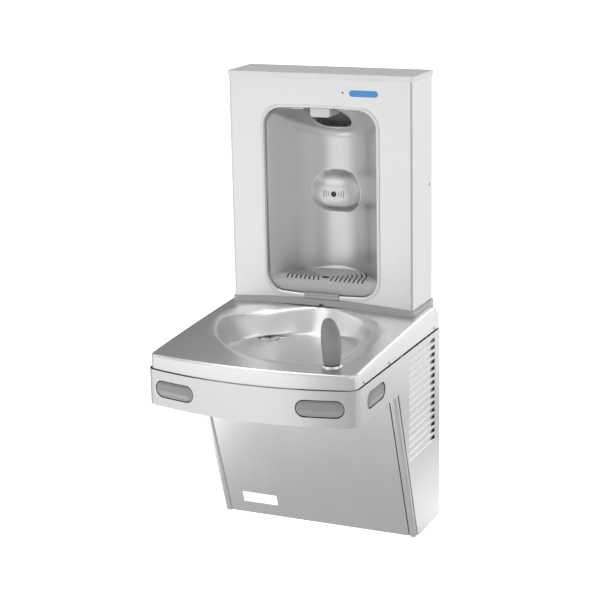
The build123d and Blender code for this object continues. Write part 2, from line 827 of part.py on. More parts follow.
with BuildPart() as wall_hanger:
    with BuildSketch(Plane.XZ):
        Rectangle(hanger_width, hanger_height)
        with GridLocations(hanger_bolt_x, hanger_bolt_z, 2, 2):
            Circle(hanger_hole_radius, mode=Mode.SUBTRACT)
    extrude(amount=hanger_sheet)
    with BuildSketch(Plane.YZ.offset(-hanger_width / 2)):
        with Locations((flange_front_y / 2, hanger_top_z - hanger_sheet / 2)):
            Rectangle(-flange_front_y, hanger_sheet)
        with Locations((flange_front_y + hanger_sheet / 2 - 0.6, hanger_top_z + flange_height / 2 - 1)):
            Rectangle(hanger_sheet - 0.6, flange_height + 2)
    extrude(amount=hanger_width)
wall_hanger.part.label = "wall_hanger"
export_step(wall_hanger.part, "parts/wall_hanger.step")

pan_half = front_panel_width / 2 - sheet - fit_gap
pan_front_y = 3 - front_panel_bottom_y
pan_top_z = pan_z + sheet
with BuildPart() as bottom_pan:
    with BuildSketch(Plane.XY.offset(pan_z)):
        with Locations((0, (back_front_y + pan_front_y) / 2)):
            Rectangle(2 * pan_half, back_front_y - pan_front_y)
        with Locations((power_inlet_x, -power_inlet_y)):
            Rectangle(inlet_opening[0], inlet_opening[1], mode=Mode.SUBTRACT)
    extrude(amount=sheet)
    with BuildSketch(Plane.XY.offset(pan_z)):
        for side in (-1, 1):
            with Locations((side * (pan_half - sheet / 2), (back_front_y + pan_front_y) / 2)):
                Rectangle(sheet, back_front_y - pan_front_y)
    extrude(amount=9)
bottom_pan.part.label = "bottom_pan"
export_step(bottom_pan.part, "parts/bottom_pan.step")

with BuildPart() as power_inlet:
    with BuildSketch(Plane.XY.offset(pan_z)):
        with Locations((power_inlet_x, -power_inlet_y)):
            Rectangle(power_inlet_size[0], power_inlet_size[1])
    extrude(amount=power_inlet_size[2])
    with BuildSketch(Plane.XY.offset(pan_top_z)):
        with Locations((power_inlet_x, -power_inlet_y)):
            Rectangle(power_inlet_size[0] + 12, power_inlet_size[1] + 6)
    extrude(amount=2.5)
    with BuildSketch(Plane.XY.offset(pan_z)):
        with Locations((power_inlet_x, -power_inlet_y)):
            RectangleRounded(power_inlet_size[0] - 6, power_inlet_size[1] - 7, 3)
    extrude(amount=17, mode=Mode.SUBTRACT)
    with BuildSketch(Plane.XY.offset(pan_z + 4)):
        with Locations((power_inlet_x, -power_inlet_y)):
            with GridLocations(7, 1, 3, 1):
                Rectangle(1.5, 4)
    extrude(amount=15)
power_inlet.part.label = "power_inlet"
export_step(power_inlet.part, "parts/power_inlet.step")

# ---- Compressor on rubber grommets
grommet_places = [(compressor_x + dx, compressor_y + dy) for dx, dy in ((-52, -44), (52, -44), (0, 58))]
with BuildPart() as compressor_grommets:
    with BuildSketch(Plane.XY.offset(pan_top_z)):
        with Locations(*grommet_places):
            Circle(9)
            Circle(4, mode=Mode.SUBTRACT)
    extrude(amount=grommet_height)
compressor_grommets.part.label = "compressor_grommets"
export_step(compressor_grommets.part, "parts/compressor_grommets.step")

compressor_z = pan_top_z + grommet_height
with BuildPart() as compressor:
    with BuildSketch(Plane.XY.offset(compressor_z)):
        with Locations(*grommet_places):
            Circle(11)
        with Locations((compressor_x, compressor_y - 44)):
            Rectangle(104, 22)
        with Locations((compressor_x, compressor_y + 5)):
            Rectangle(22, 106)
    extrude(amount=3)
    with BuildSketch(Plane.XY.offset(compressor_z + 3)):
        with Locations((compressor_x, compressor_y)):
            Circle(compressor_radius)
    extrude(amount=compressor_height)
    fillet(compressor.faces().sort_by(Axis.Z)[-1].edges(), 22)
compressor.part.label = "compressor"
export_step(compressor.part, "parts/compressor.step")

# ---- Chiller tank in foam, carried by the back panel
tank_z = bottom_z + tank_rise
with BuildPart() as chiller_tank:
    with BuildSketch(Plane.XY.offset(tank_z)):
        with Locations((tank_x, tank_y)):
            Circle(tank_radius)
        with Locations((tank_x, (back_front_y + tank_y) / 2)):
            Rectangle(60, back_front_y - tank_y)
    extrude(amount=tank_height)
chiller_tank.part.label = "chiller_tank"
export_step(chiller_tank.part, "parts/chiller_tank.step")

# ---- Condenser, fan and its shroud
condenser_thick, condenser_wide, condenser_high = condenser_size
condenser_z = bottom_z + condenser_rise
shroud_x = condenser_x - condenser_thick / 2 - fan_shroud_sheet
fin_count = 21
with BuildPart() as condenser:
    with BuildSketch(Plane.YZ.offset(condenser_x - condenser_thick / 2)):
        with Locations((condenser_centre_y, condenser_z)):
            with GridLocations(condenser_wide / (fin_count - 1), 1, fin_count, 1):
                Rectangle(1.2, condenser_high)
    extrude(amount=condenser_thick)
    with BuildSketch(Plane.XZ.offset(-condenser_centre_y - condenser_wide / 2 - 6)):
        for row in range(7):
            with Locations((condenser_x, condenser_z + (row - 3) * condenser_high / 8)):
                Circle(4)
    extrude(amount=condenser_wide + 12)
condenser.part.label = "condenser"
export_step(condenser.part, "parts/condenser.step")

fan_x = shroud_x - 5 - fan_thickness / 2
motor_face_x = fan_x - fan_thickness / 2 - 6
ring_back_x = motor_face_x - 6
fan_centre = (condenser_centre_y, condenser_z)
with BuildPart() as fan_shroud:
    with BuildSketch(Plane.YZ.offset(shroud_x)):
        with Locations(fan_centre):
            Rectangle(condenser_wide, condenser_high)
        for leg_y in (-45, 38):
            with Locations((condenser_centre_y + leg_y, (pan_top_z + condenser_z) / 2)):
                Rectangle(14, condenser_z - pan_top_z)
        with Locations(fan_centre):
            Circle(fan_radius + fan_clearance, mode=Mode.SUBTRACT)
    extrude(amount=fan_shroud_sheet)
    with BuildSketch(Plane.YZ.offset(ring_back_x)):
        with Locations(fan_centre):
            Circle(fan_radius + fan_clearance + 2)
            Circle(fan_radius + fan_clearance, mode=Mode.SUBTRACT)
    extrude(amount=shroud_x - ring_back_x + fan_shroud_sheet)
    with BuildSketch(Plane.YZ.offset(ring_back_x)):
        with Locations(fan_centre):
            Rectangle(2 * fan_radius + 7, 8)
            Rectangle(8, 2 * fan_radius + 7)
            Circle(fan_motor_radius + 4)
            Circle(fan_motor_radius + fit_gap, mode=Mode.SUBTRACT)
    extrude(amount=5)
fan_shroud.part.label = "fan_shroud"
export_step(fan_shroud.part, "parts/fan_shroud.step")

with BuildPart() as fan_motor:
    with BuildSketch(Plane.YZ.offset(motor_face_x)):
        with Locations(fan_centre):
            Circle(fan_motor_radius)
    extrude(amount=-fan_motor_length)
    with BuildSketch(Plane.YZ.offset(motor_face_x)):
        with Locations(fan_centre):
            Circle(fan_shaft_radius)
    extrude(amount=fan_thickness + 8)
fan_motor.part.label = "fan_motor"
export_step(fan_motor.part, "parts/fan_motor.step")

with BuildPart() as fan_blade:
    with BuildSketch(Plane.YZ.offset(fan_x - fan_thickness / 2)):
        with Locations(fan_centre):
            Circle(fan_hub_radius)
            Circle(fan_shaft_radius + running_gap, mode=Mode.SUBTRACT)
    extrude(amount=fan_thickness)
    hub_plane = Plane((fan_x, fan_centre[0], fan_centre[1]), x_dir=(0, 1, 0), z_dir=(1, 0, 0))
    with Locations(hub_plane):
        with PolarLocations((fan_hub_radius + fan_radius) / 2 - 2, 5):
            Box(fan_radius - fan_hub_radius + 4, 26, 1.6, rotation=(28, 0, 0))
    with BuildSketch(Plane.YZ.offset(fan_x - 20)):
        with Locations(fan_centre):
            Circle(fan_radius)
    extrude(amount=40, mode=Mode.INTERSECT)
fan_blade.part.label = "fan_blade"
export_step(fan_blade.part, "parts/fan_blade.step")

# ---- Control box with the thermostat dial
control_wide, control_deep, control_high = control_size
control_z = bottom_z + control_rise
control_front_y = back_front_y - control_deep
with BuildPart() as control_box:
    with BuildSketch(Plane.XZ.offset(-back_front_y)):
        with Locations((control_x, control_z)):
            RectangleRounded(control_wide, control_high, 4)
    extrude(amount=control_deep)
    with BuildSketch(Plane.XZ.offset(-control_front_y)):
        with Locations((control_x, control_z)):
            Circle(dial_spindle_radius)
    extrude(amount=dial_height)
control_box.part.label = "control_box"
export_step(control_box.part, "parts/control_box.step")

with BuildPart() as thermostat_dial:
    with BuildSketch(Plane.XZ.offset(1 - control_front_y)):
        with Locations((control_x, control_z)):
            Circle(dial_radius)
            Circle(dial_spindle_radius + running_gap, mode=Mode.SUBTRACT)
    extrude(amount=dial_height)
    with BuildSketch(Plane.XZ.offset(1 - control_front_y + dial_height)):
        with Locations((control_x, control_z + dial_radius / 2 + 1)):
            Rectangle(2.5, dial_radius - 3)
    extrude(amount=2)
thermostat_dial.part.label = "thermostat_dial"
export_step(thermostat_dial.part, "parts/thermostat_dial.step")

# ---- Water valves, inlet union and lines
valve_wide, valve_deep, valve_high = valve_size


def solenoid_valve(x, y, z):
    """Valve body with its coil on top."""
    with BuildPart() as valve:
        with Locations((x, y, z)):
            Box(valve_wide, valve_deep, 18)
            with Locations((0, 0, valve_high / 2)):
                Cylinder(12, valve_high - 18)
            with Locations((0, -2, valve_high / 2 - 2)):
                Box(22, valve_deep - 2, valve_high - 26)
    return valve.part


with BuildPart() as inlet_union:
    with BuildSketch(Plane.XZ):
        with Locations((inlet_x, inlet_z)):
            Circle(inlet_radius)
            Circle(tube_radius, mode=Mode.SUBTRACT)
    extrude(amount=inlet_y - valve_deep / 2)
    with BuildSketch(Plane.XZ.offset(-back_front_y)):
        with Locations((inlet_x, inlet_z)):
            RegularPolygon(inlet_radius + 4, 6)
            Circle(inlet_radius - 1, mode=Mode.SUBTRACT)
    extrude(amount=8)
inlet_union.part.label = "inlet_union"
export_step(inlet_union.part, "parts/inlet_union.step")

with BuildPart() as bubbler_valve:
    add(solenoid_valve(inlet_x, -inlet_y, inlet_z))
bubbler_valve.part.label = "bubbler_valve"
export_step(bubbler_valve.part, "parts/bubbler_valve.step")

filler_valve_z = bottom_z + filler_valve_rise
with BuildPart() as filler_valve:
    add(solenoid_valve(filler_line_x, -line_y, filler_valve_z))
filler_valve.part.label = "filler_valve"
export_step(filler_valve.part, "parts/filler_valve.step")

tank_top_z = tank_z + tank_height
line_z = bottom_z + 385
nozzle_top_z = bottom_z + nozzle_bottom_rise + nozzle_height
nozzle_line_y = 44.0
inlet_line = [
    (inlet_x - valve_wide / 2, -inlet_y, inlet_z),
    (tank_x + 20, -inlet_y, inlet_z),
    (tank_x + 20, tank_y, inlet_z),
    (tank_x + 20, tank_y, tank_top_z),
]
bubbler_line = [
    (tank_x - 20, tank_y, tank_top_z),
    (tank_x - 20, tank_y, line_z),
    (tank_x - 20, -380, line_z),
    (bubbler_x, -380, line_z),
    (bubbler_x, bubbler_y, line_z),
    (bubbler_x, bubbler_y, boss_top_z - 46),
]
filler_line = [
    (tank_x, tank_y + 40, tank_top_z),
    (tank_x, tank_y + 40, line_z + 34),
    (filler_line_x, tank_y + 40, line_z + 34),
    (filler_line_x, -line_y, line_z + 62),
    (filler_line_x, -line_y, filler_valve_z - 9),
]
nozzle_line = [
    (filler_line_x - valve_wide / 2, -line_y, filler_valve_z),
    (riser_x, -line_y, filler_valve_z),
    (riser_x, -line_y, nozzle_top_z + 25),
    (0, -nozzle_line_y, nozzle_top_z + 25),
    (0, -nozzle_line_y, nozzle_top_z),
]
with BuildPart() as water_lines:
    add(bent_tube(inlet_line, line_bend, tube_radius))
    add(bent_tube(bubbler_line, line_bend, tube_radius))
    add(bent_tube(filler_line, line_bend, tube_radius))
    add(bent_tube(nozzle_line, 8, tube_radius))
water_lines.part.label = "water_lines"
export_step(water_lines.part, "parts/water_lines.step")

discharge_z = compressor_z + 60
condenser_low_z = condenser_z - condenser_high / 2
condenser_high_z = condenser_z + condenser_high / 2
with BuildPart() as refrigerant_lines:
    add(bent_tube(
        [
            (compressor_x + compressor_radius + fit_gap / 2, compressor_y, discharge_z),
            (compressor_x + compressor_radius + 40, compressor_y, discharge_z),
            (compressor_x + compressor_radius + 40, compressor_y, condenser_low_z - 22),
            (condenser_x, compressor_y, condenser_low_z - 22),
            (condenser_x, compressor_y, condenser_low_z),
        ],
        line_bend, tube_radius,
    ))
    add(bent_tube(
        [
            (condenser_x, condenser_centre_y - 42, condenser_high_z),
            (condenser_x, condenser_centre_y - 42, condenser_high_z + 24),
            (tank_x + tank_radius - 6, condenser_centre_y - 42, condenser_high_z + 24),
        ],
        line_bend, tube_radius,
    ))
refrigerant_lines.part.label = "refrigerant_lines"
export_step(refrigerant_lines.part, "parts/refrigerant_lines.step")

# ---- Base adapter between the deck and the bottle filler
arch = arched_block()
liner_outside = alcove_block(sheet)
alcove_hollow = alcove_block(0)
with BuildPart() as base_adapter:
    with BuildSketch(Plane.XY.offset(seam_z)) as rim_plan:
        with Locations((0, -(filler_depth + adapter_proud) / 2)):
            Rectangle(filler_width + 2 * adapter_proud, filler_depth + adapter_proud)
        fillet(rim_plan.vertices().sort_by(Axis.Y)[:2], adapter_corner_radius)
        with Locations((0, -filler_depth / 2)):
            Rectangle(filler_width - 2 * adapter_rim, filler_depth - 2 * adapter_rim, mode=Mode.SUBTRACT)
    extrude(amount=filler_bottom_rise - seam_rise + 40)
    add(arch, mode=Mode.INTERSECT)
    add(basin_outer, mode=Mode.SUBTRACT)
    with BuildSketch(Plane.XZ.offset(filler_depth + adapter_proud)):
        with Locations((0, filler_bottom_z - notch_height / 2 - 1)):
            Rectangle(notch_width, notch_height)
    extrude(amount=-8, mode=Mode.SUBTRACT)
base_adapter.part.label = "base_adapter"
export_step(base_adapter.part, "parts/base_adapter.step")

# ---- Bottle filler casing
filler_height = filler_top_z - filler_bottom_z


def filler_plan(inset):
    """Casing outline in plan with rounded front corners."""
    with BuildSketch(Plane.XY.offset(filler_bottom_z)) as plan:
        with Locations((0, -(filler_depth + sheet) / 2)):
            Rectangle(filler_width - 2 * inset, filler_depth - sheet - 2 * inset)
        fillet(plan.vertices().sort_by(Axis.Y)[:2], filler_corner_radius - inset)
    return plan.sketch


panel_half = filler_half - filler_return
side_screw_places = [
    Plane((side * filler_half, -13, bottom_z + 770), z_dir=(side, 0, 0)) for side in (-1, 1)
]
cap_screw_places = [
    Plane((side * 191, -52, filler_top_z + cap_height), z_dir=(0, 0, 1)) for side in (-1, 1)
]
with BuildPart() as filler_housing:
    extrude(filler_plan(0), amount=filler_height)
    extrude(filler_plan(sheet), amount=filler_height, mode=Mode.SUBTRACT)
    with BuildSketch(Plane.XY.offset(filler_bottom_z)):
        with Locations((0, -filler_depth)):
            Rectangle(2 * panel_half + fit_gap, 20)
    extrude(amount=filler_height, mode=Mode.SUBTRACT)
    add(arch, mode=Mode.SUBTRACT)
    for place in side_screw_places:
        with BuildSketch(place.offset(1)):
            Circle(screw_shank_radius + fit_gap)
        extrude(amount=-8, mode=Mode.SUBTRACT)
filler_housing.part.label = "filler_housing"
export_step(filler_housing.part, "parts/filler_housing.step")

with BuildPart() as filler_back_plate:
    with BuildSketch(Plane.XZ):
        with Locations((0, (filler_bottom_z + filler_top_z) / 2)):
            Rectangle(filler_width - 4, filler_height - 2)
            with GridLocations(hanger_bolt_x, 400, 2, 2):
                Circle(hanger_hole_radius, mode=Mode.SUBTRACT)
    extrude(amount=sheet)
    add(arch, mode=Mode.SUBTRACT)
filler_back_plate.part.label = "filler_back_plate"
export_step(filler_back_plate.part, "parts/filler_back_plate.step")

label_wide, label_high, label_sheet = label_size
with BuildPart() as filler_front_panel:
    with BuildSketch(Plane.XZ.offset(filler_depth - sheet)):
        with Locations((0, (filler_bottom_z + filler_top_z) / 2)):
            Rectangle(2 * panel_half, filler_height)
        with Locations((led_x, bottom_z + led_rise)):
            Circle(led_radius + fit_gap / 2, mode=Mode.SUBTRACT)
    extrude(amount=sheet)
    add(arch, mode=Mode.SUBTRACT)
    opening = alcove_outline(Plane.XZ.offset(filler_depth - 10), sheet + fit_gap)
    extrude(opening, amount=20, mode=Mode.SUBTRACT)
filler_front_panel.part.label = "filler_front_panel"
export_step(filler_front_panel.part, "parts/filler_front_panel.step")

with BuildPart() as filler_cap:
    with BuildSketch(Plane.XY.offset(filler_top_z)) as cap_plan:
        with Locations((0, -(filler_depth + cap_overhang) / 2)):
            Rectangle(filler_width + 2 * cap_overhang, filler_depth + cap_overhang)
        fillet(cap_plan.vertices().sort_by(Axis.Y)[:2], adapter_corner_radius)
    extrude(amount=cap_height)
    fillet(filler_cap.faces().sort_by(Axis.Z)[-1].edges(), 2)
    with BuildSketch(Plane.XY.offset(filler_top_z)):
        with Locations((0, -filler_depth / 2)):
            Rectangle(filler_width - 14, filler_depth - 14)
    extrude(amount=cap_height - 3, mode=Mode.SUBTRACT)
    for place in cap_screw_places:
        with BuildSketch(place.offset(1)):
            Circle(screw_shank_radius + fit_gap)
        extrude(amount=-10, mode=Mode.SUBTRACT)
filler_cap.part.label = "filler_cap"
export_step(filler_cap.part, "parts/filler_cap.step")

with BuildPart() as filler_screws:
    for place in side_screw_places + cap_screw_places:
        add(screw_at(place, screw_head_radius, screw_head_height, 8))
filler_screws.part.label = "filler_screws"
export_step(filler_screws.part, "parts/filler_screws.step")

with BuildPart() as label_plate:
    with BuildSketch(Plane.XZ.offset(filler_depth)):
        with Locations((label_x, bottom_z + label_rise)):
            SlotOverall(label_wide, label_high)
    extrude(amount=label_sheet)
label_plate.part.label = "label_plate"
export_step(label_plate.part, "parts/label_plate.step")

with BuildPart() as status_led:
    with BuildSketch(Plane.XZ.offset(filler_depth - 6)):
        with Locations((led_x, bottom_z + led_rise)):
            Circle(led_radius)
    extrude(amount=6.4)
    with BuildSketch(Plane.XZ.offset(filler_depth - 8)):
        with Locations((led_x, bottom_z + led_rise)):
            Rectangle(16, 10)
    extrude(amount=8 - sheet)
status_led.part.label = "status_led"
export_step(status_led.part, "parts/status_led.step")

# ---- Alcove: steel liner with its rim, sensor, nozzle and drip tray
pocket_z = bottom_z + pocket_rise
boss_z = bottom_z + boss_rise
with BuildPart() as alcove_liner:
    add(liner_outside)
    extrude(alcove_outline(Plane.XZ.offset(filler_depth), trim_width), amount=trim_proud)
    fillet(alcove_liner.faces().sort_by(Axis.Y)[0].outer_wire().edges(), trim_proud - 0.4)
    add(alcove_hollow, mode=Mode.SUBTRACT)
    with BuildSketch(Plane.XZ.offset(-20)):
        with Locations((0, pocket_z)):
            RectangleRounded(pocket_width, pocket_height, pocket_height / 2 - 1)
    extrude(amount=68, mode=Mode.SUBTRACT)
    with BuildSketch(Plane.XZ.offset(-20)):
        with Locations((0, boss_z)):
            Circle(sensor_radius + fit_gap)
    extrude(amount=90, mode=Mode.SUBTRACT)
    with Locations((0, -nozzle_line_y, nozzle_top_z)):
        Cylinder(tube_radius + fit_gap, 12, mode=Mode.SUBTRACT)
alcove_liner.part.label = "alcove_liner"
export_step(alcove_liner.part, "parts/alcove_liner.step")

nozzle_bottom_z = bottom_z + nozzle_bottom_rise
with BuildPart() as nozzle_housing:
    with BuildSketch(Plane.XZ.offset(2 * sheet + fit_gap)):
        with Locations((0, pocket_z)):
            RectangleRounded(pocket_width + 8, pocket_height + 8, pocket_height / 2)
    extrude(amount=40)
    add(liner_outside, mode=Mode.SUBTRACT)
    with BuildSketch(Plane.XZ.offset(nozzle_back_y)):
        with Locations((0, pocket_z)):
            RectangleRounded(pocket_width + 2, pocket_height + 2, pocket_height / 2 - 1)
    extrude(amount=60, mode=Mode.SUBTRACT)
    with Locations((0, -nozzle_line_y, nozzle_top_z + 20)):
        Cylinder(tube_radius + 1, 60, mode=Mode.SUBTRACT)
nozzle_housing.part.label = "nozzle_housing"
export_step(nozzle_housing.part, "parts/nozzle_housing.step")

with BuildPart() as nozzle_body:
    with BuildSketch(Plane.XZ.offset(nozzle_back_y)) as nozzle_front:
        with Locations((0, nozzle_bottom_z + nozzle_height / 2)):
            Rectangle(nozzle_width, nozzle_height)
        fillet(nozzle_front.vertices().sort_by(Axis.Y)[:2], 7)
    extrude(amount=nozzle_front_y - nozzle_back_y)
    fillet(nozzle_body.faces().sort_by(Axis.Y)[0].edges().sort_by(Axis.Z)[:3], 1.5)
    with Locations((0, -outlet_y, nozzle_bottom_z)):
        Cylinder(nozzle_bore_radius + 3, 24, mode=Mode.SUBTRACT)
    with Locations((0, -nozzle_back_y - 13, nozzle_bottom_z + nozzle_height)):
        Box(nozzle_width, 34, 7, mode=Mode.SUBTRACT)
nozzle_body.part.label = "nozzle_body"
export_step(nozzle_body.part, "parts/nozzle_body.step")

with BuildPart() as nozzle_outlet:
    with BuildSketch(Plane.XY.offset(nozzle_bottom_z + 12)):
        with Locations((0, -outlet_y)):
            Circle(nozzle_bore_radius + 3)
            Circle(nozzle_bore_radius - 1.5, mode=Mode.SUBTRACT)
    extrude(amount=-17, taper=4)
nozzle_outlet.part.label = "nozzle_outlet"
export_step(nozzle_outlet.part, "parts/nozzle_outlet.step")

with BuildPart() as sensor_lens:
    with BuildSketch(Plane.XZ.offset(boss_face_y - sheet - 0.4)):
        with Locations((0, boss_z)):
            Circle(sensor_radius)
    extrude(amount=sheet + 1)
    fillet(sensor_lens.faces().sort_by(Axis.Y)[0].edges(), 0.4)
sensor_lens.part.label = "sensor_lens"
export_step(sensor_lens.part, "parts/sensor_lens.step")

with BuildPart() as sensor_module:
    with BuildSketch(Plane.XZ.offset(boss_face_y - sheet - 0.4 - sensor_length)):
        with Locations((0, boss_z)):
            RectangleRounded(46, 24, 3)
    extrude(amount=sensor_length)
sensor_module.part.label = "sensor_module"
export_step(sensor_module.part, "parts/sensor_module.step")

tray_under = scoop_block(tray_sheet)
tray_over = scoop_block(0)
with BuildPart() as drip_tray:
    add(alcove_block(-fit_gap))
    add(tray_under, mode=Mode.INTERSECT)
    add(tray_over, mode=Mode.SUBTRACT)
    with BuildSketch(Plane.XY.offset(tray_z + 1)):
        with Locations((0, -tray_hole_y)):
            SlotOverall(tray_drain_length, tray_drain_width)
            for ring in range(slot_rings):
                radius = slot_first_radius + ring * slot_pitch
                front_sweep = min(slot_half_sweep, math.degrees(math.asin(slot_front_reach / radius)))
                back_sweep = slot_outer_sweep if ring == slot_rings - 1 else slot_half_sweep
                sweep = front_sweep + back_sweep
                for start in (-front_sweep, 180 - back_sweep):
                    ring_arc = CenterArc((0, 0), radius, start, sweep, mode=Mode.PRIVATE)
                    SlotArc(ring_arc, slot_width)
    extrude(amount=-20, mode=Mode.SUBTRACT)
drip_tray.part.label = "drip_tray"
export_step(drip_tray.part, "parts/drip_tray.step")

rim_front_y = filler_depth + trim_proud
spout_z = bottom_z + alcove_bottom_rise
with BuildPart() as tray_spout:
    with BuildSketch(Plane.YZ.offset(-spout_width / 2)):
        with Locations((-rim_front_y - spout_reach / 2 + 5, spout_z + 1.8)):
            Rectangle(spout_reach, 2)
        with Locations((-rim_front_y - fit_gap - 1, spout_z - 3)):
            Rectangle(2, 11)
    extrude(amount=spout_width)
tray_spout.part.label = "tray_spout"
export_step(tray_spout.part, "parts/tray_spout.step")
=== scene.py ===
"""Wall-hung drinking fountain with a touch-free bottle filler: pieces, finishes and studio."""

import math

import bmesh
import bpy
from mathutils import Matrix, Vector


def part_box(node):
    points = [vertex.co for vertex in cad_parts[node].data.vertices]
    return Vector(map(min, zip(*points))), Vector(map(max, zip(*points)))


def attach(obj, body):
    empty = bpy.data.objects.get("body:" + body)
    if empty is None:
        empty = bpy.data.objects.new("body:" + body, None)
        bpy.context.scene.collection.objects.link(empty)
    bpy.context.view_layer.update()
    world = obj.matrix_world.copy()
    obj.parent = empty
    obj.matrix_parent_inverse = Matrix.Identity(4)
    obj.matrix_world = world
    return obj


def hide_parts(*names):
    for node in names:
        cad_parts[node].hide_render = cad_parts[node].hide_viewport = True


bl_info = {
    "name": "Wall-hung drinking fountain",
    "version": (1, 0, 0),
    "blender": (4, 5, 0),
    "location": "3D View > Sidebar > Fountain",
    "description": "Pressed steel basin, bottle alcove, push pads, finishes and studio of a fountain",
    "category": "Object",
}

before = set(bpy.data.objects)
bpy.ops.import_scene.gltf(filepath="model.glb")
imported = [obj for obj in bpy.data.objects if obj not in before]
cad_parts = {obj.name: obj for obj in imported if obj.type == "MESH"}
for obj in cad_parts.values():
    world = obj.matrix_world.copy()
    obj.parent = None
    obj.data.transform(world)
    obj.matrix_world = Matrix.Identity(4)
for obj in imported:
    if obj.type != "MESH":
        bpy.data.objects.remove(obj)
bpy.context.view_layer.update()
basin_low, basin_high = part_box("basin")

# Heights and depths that the pieces share, in metres from the wall and the hanger's bolts.
SEAM_Z = 0.0415
DECK_Z = (0.107, 0.0955, 0.0775)
DECK_CROWN = 0.008
DECK_REAR_ROUND = 0.038
BASIN_BOW = 0.038
BASIN_CORNER = 0.025
PANEL_Y = -0.1215
# Where the skin leaves the rolled rim, and the back wall that the sensor boss is measured from.
RIM_BACK_Y = PANEL_Y + 0.0068
BOSS_WALL_Y = -0.015


# ---------------------------------------------------------------- sizes and colours a user may change
class FountainSizes(bpy.types.PropertyGroup):
    """Sizes of the pressed and moulded pieces."""

    deck_edge: bpy.props.FloatProperty(
        name="Deck edge radius", description="Round between the deck and its skirt",
        default=0.0065, min=0.002, max=0.012, unit="LENGTH", subtype="DISTANCE",
    )
    sheet: bpy.props.FloatProperty(
        name="Steel thickness", description="Thickness of the pressed steel",
        default=0.0012, min=0.0006, max=0.003, unit="LENGTH", subtype="DISTANCE",
    )
    ceiling_slope: bpy.props.FloatProperty(
        name="Alcove ceiling slope", description="How far the alcove's ceiling falls for each unit inwards",
        default=0.50, min=0.2, max=1.5,
    )
    boss_height: bpy.props.FloatProperty(
        name="Sensor boss height", description="How far the sensor boss stands from the back wall",
        default=0.031, min=0.01, max=0.045, unit="LENGTH", subtype="DISTANCE",
    )
    pad_ridge: bpy.props.FloatProperty(
        name="Push pad ridge", description="Height of the ridge on a push pad above the apron",
        default=0.0019, min=0.0, max=0.002, unit="LENGTH", subtype="DISTANCE",
    )
    guard_height: bpy.props.FloatProperty(
        name="Mouth guard height", description="Height of the hood over the bubbler",
        default=0.092, min=0.06, max=0.1, unit="LENGTH", subtype="DISTANCE",
    )
    mark_width: bpy.props.FloatProperty(
        name="Sensor mark width", description="Line width of the arcs beside the sensor",
        default=0.0009, min=0.0004, max=0.002, unit="LENGTH", subtype="DISTANCE",
    )


def colour(name, description, default):
    return bpy.props.FloatVectorProperty(
        name=name, description=description, default=default, size=3, min=0.0, max=1.0, subtype="COLOR",
    )


class FountainColours(bpy.types.PropertyGroup):
    """Colours of the finishes."""

    steel: colour("Stainless steel", "Reflection colour of the stainless steel", (0.70, 0.70, 0.695))
    pad: colour("Push pads", "Moulded grey of the push pads", (0.185, 0.185, 0.185))
    guard: colour("Mouth guard", "Flexible grey of the bubbler's hood", (0.17, 0.171, 0.17))
    cap: colour("Filler cap", "Moulded grey of the filler's cap", (0.52, 0.52, 0.52))
    adapter: colour("Base adapter", "Moulded grey of the band under the filler", (0.36, 0.36, 0.36))
    label: colour("Label", "Blank label beside the indicator light", (0.020, 0.19, 0.47))
    backdrop: colour("Floor", "Pale studio floor", (0.9, 0.9, 0.9))


# ---------------------------------------------------------------- shader maths
class Value:
    """One output of a shader node, used in Python expressions."""

    def __init__(self, paint, output):
        self.paint = paint
        self.output = output

    def maths(self, operation, first, second):
        return self.paint.node("ShaderNodeMath", {"operation": operation}, {0: first, 1: second})

    def __add__(self, other):
        return self.maths("ADD", self, other)

    def __radd__(self, other):
        return self.maths("ADD", other, self)

    def __sub__(self, other):
        return self.maths("SUBTRACT", self, other)

    def __rsub__(self, other):
        return self.maths("SUBTRACT", other, self)

    def __mul__(self, other):
        return self.maths("MULTIPLY", self, other)

    def __rmul__(self, other):
        return self.maths("MULTIPLY", other, self)

    def __truediv__(self, other):
        return self.maths("DIVIDE", self, other)

    def __pow__(self, other):
        return self.maths("POWER", self, other)


class Paint:
    """A node tree being written, for a material or the world."""

    def __init__(self, owner):
        owner.use_nodes = True
        self.owner = owner
        self.tree = owner.node_tree
        self.tree.nodes.clear()

    def node(self, kind, settings=None, inputs=None, output=0):
        """One node: its settings first, then its sockets' values or links; gives the output asked for."""
        made = self.tree.nodes.new(kind)
        for key, setting in (settings or {}).items():
            setattr(made, key, setting)
        for key, value in (inputs or {}).items():
            if isinstance(value, Value):
                self.tree.links.new(value.output, made.inputs[key])
            else:
                made.inputs[key].default_value = value
        return Value(self, made.outputs[output]) if len(made.outputs) else made

    def object_place(self, stretch=(1.0, 1.0, 1.0)):
        """Object coordinates, stretched."""
        place = self.node("ShaderNodeTexCoord", output="Object")
        return self.node("ShaderNodeMapping", inputs={"Vector": place, "Scale": stretch})

    def noise(self, where, scale, detail=2.0, roughness=0.5):
        return self.node(
            "ShaderNodeTexNoise", {"noise_dimensions": "3D"},
            {"Vector": where, "Scale": scale, "Detail": detail, "Roughness": roughness},
        )

    def blend(self, share, first, second):
        """A colour between two others."""
        return self.node(
            "ShaderNodeMix", {"data_type": "RGBA"}, {0: share, 6: first, 7: second}, output=2
        )

    def relief(self, height, strength, distance, round_edge=0.0):
        """Normal of a fine relief, with edges that look rounded by round_edge."""
        inputs = {"Strength": strength, "Distance": distance, "Height": height}
        if round_edge:
            inputs["Normal"] = self.node("ShaderNodeBevel", {"samples": 4}, {"Radius": round_edge})
        return self.node("ShaderNodeBump", inputs=inputs)

    def surface(self, **sockets):
        """Principled surface; a socket's name is written with underscores."""
        inputs = {key.replace("_", " "): value for key, value in sockets.items()}
        shader = self.node("ShaderNodeBsdfPrincipled", inputs=inputs)
        self.node("ShaderNodeOutputMaterial", inputs={"Surface": shader})
        return self.owner


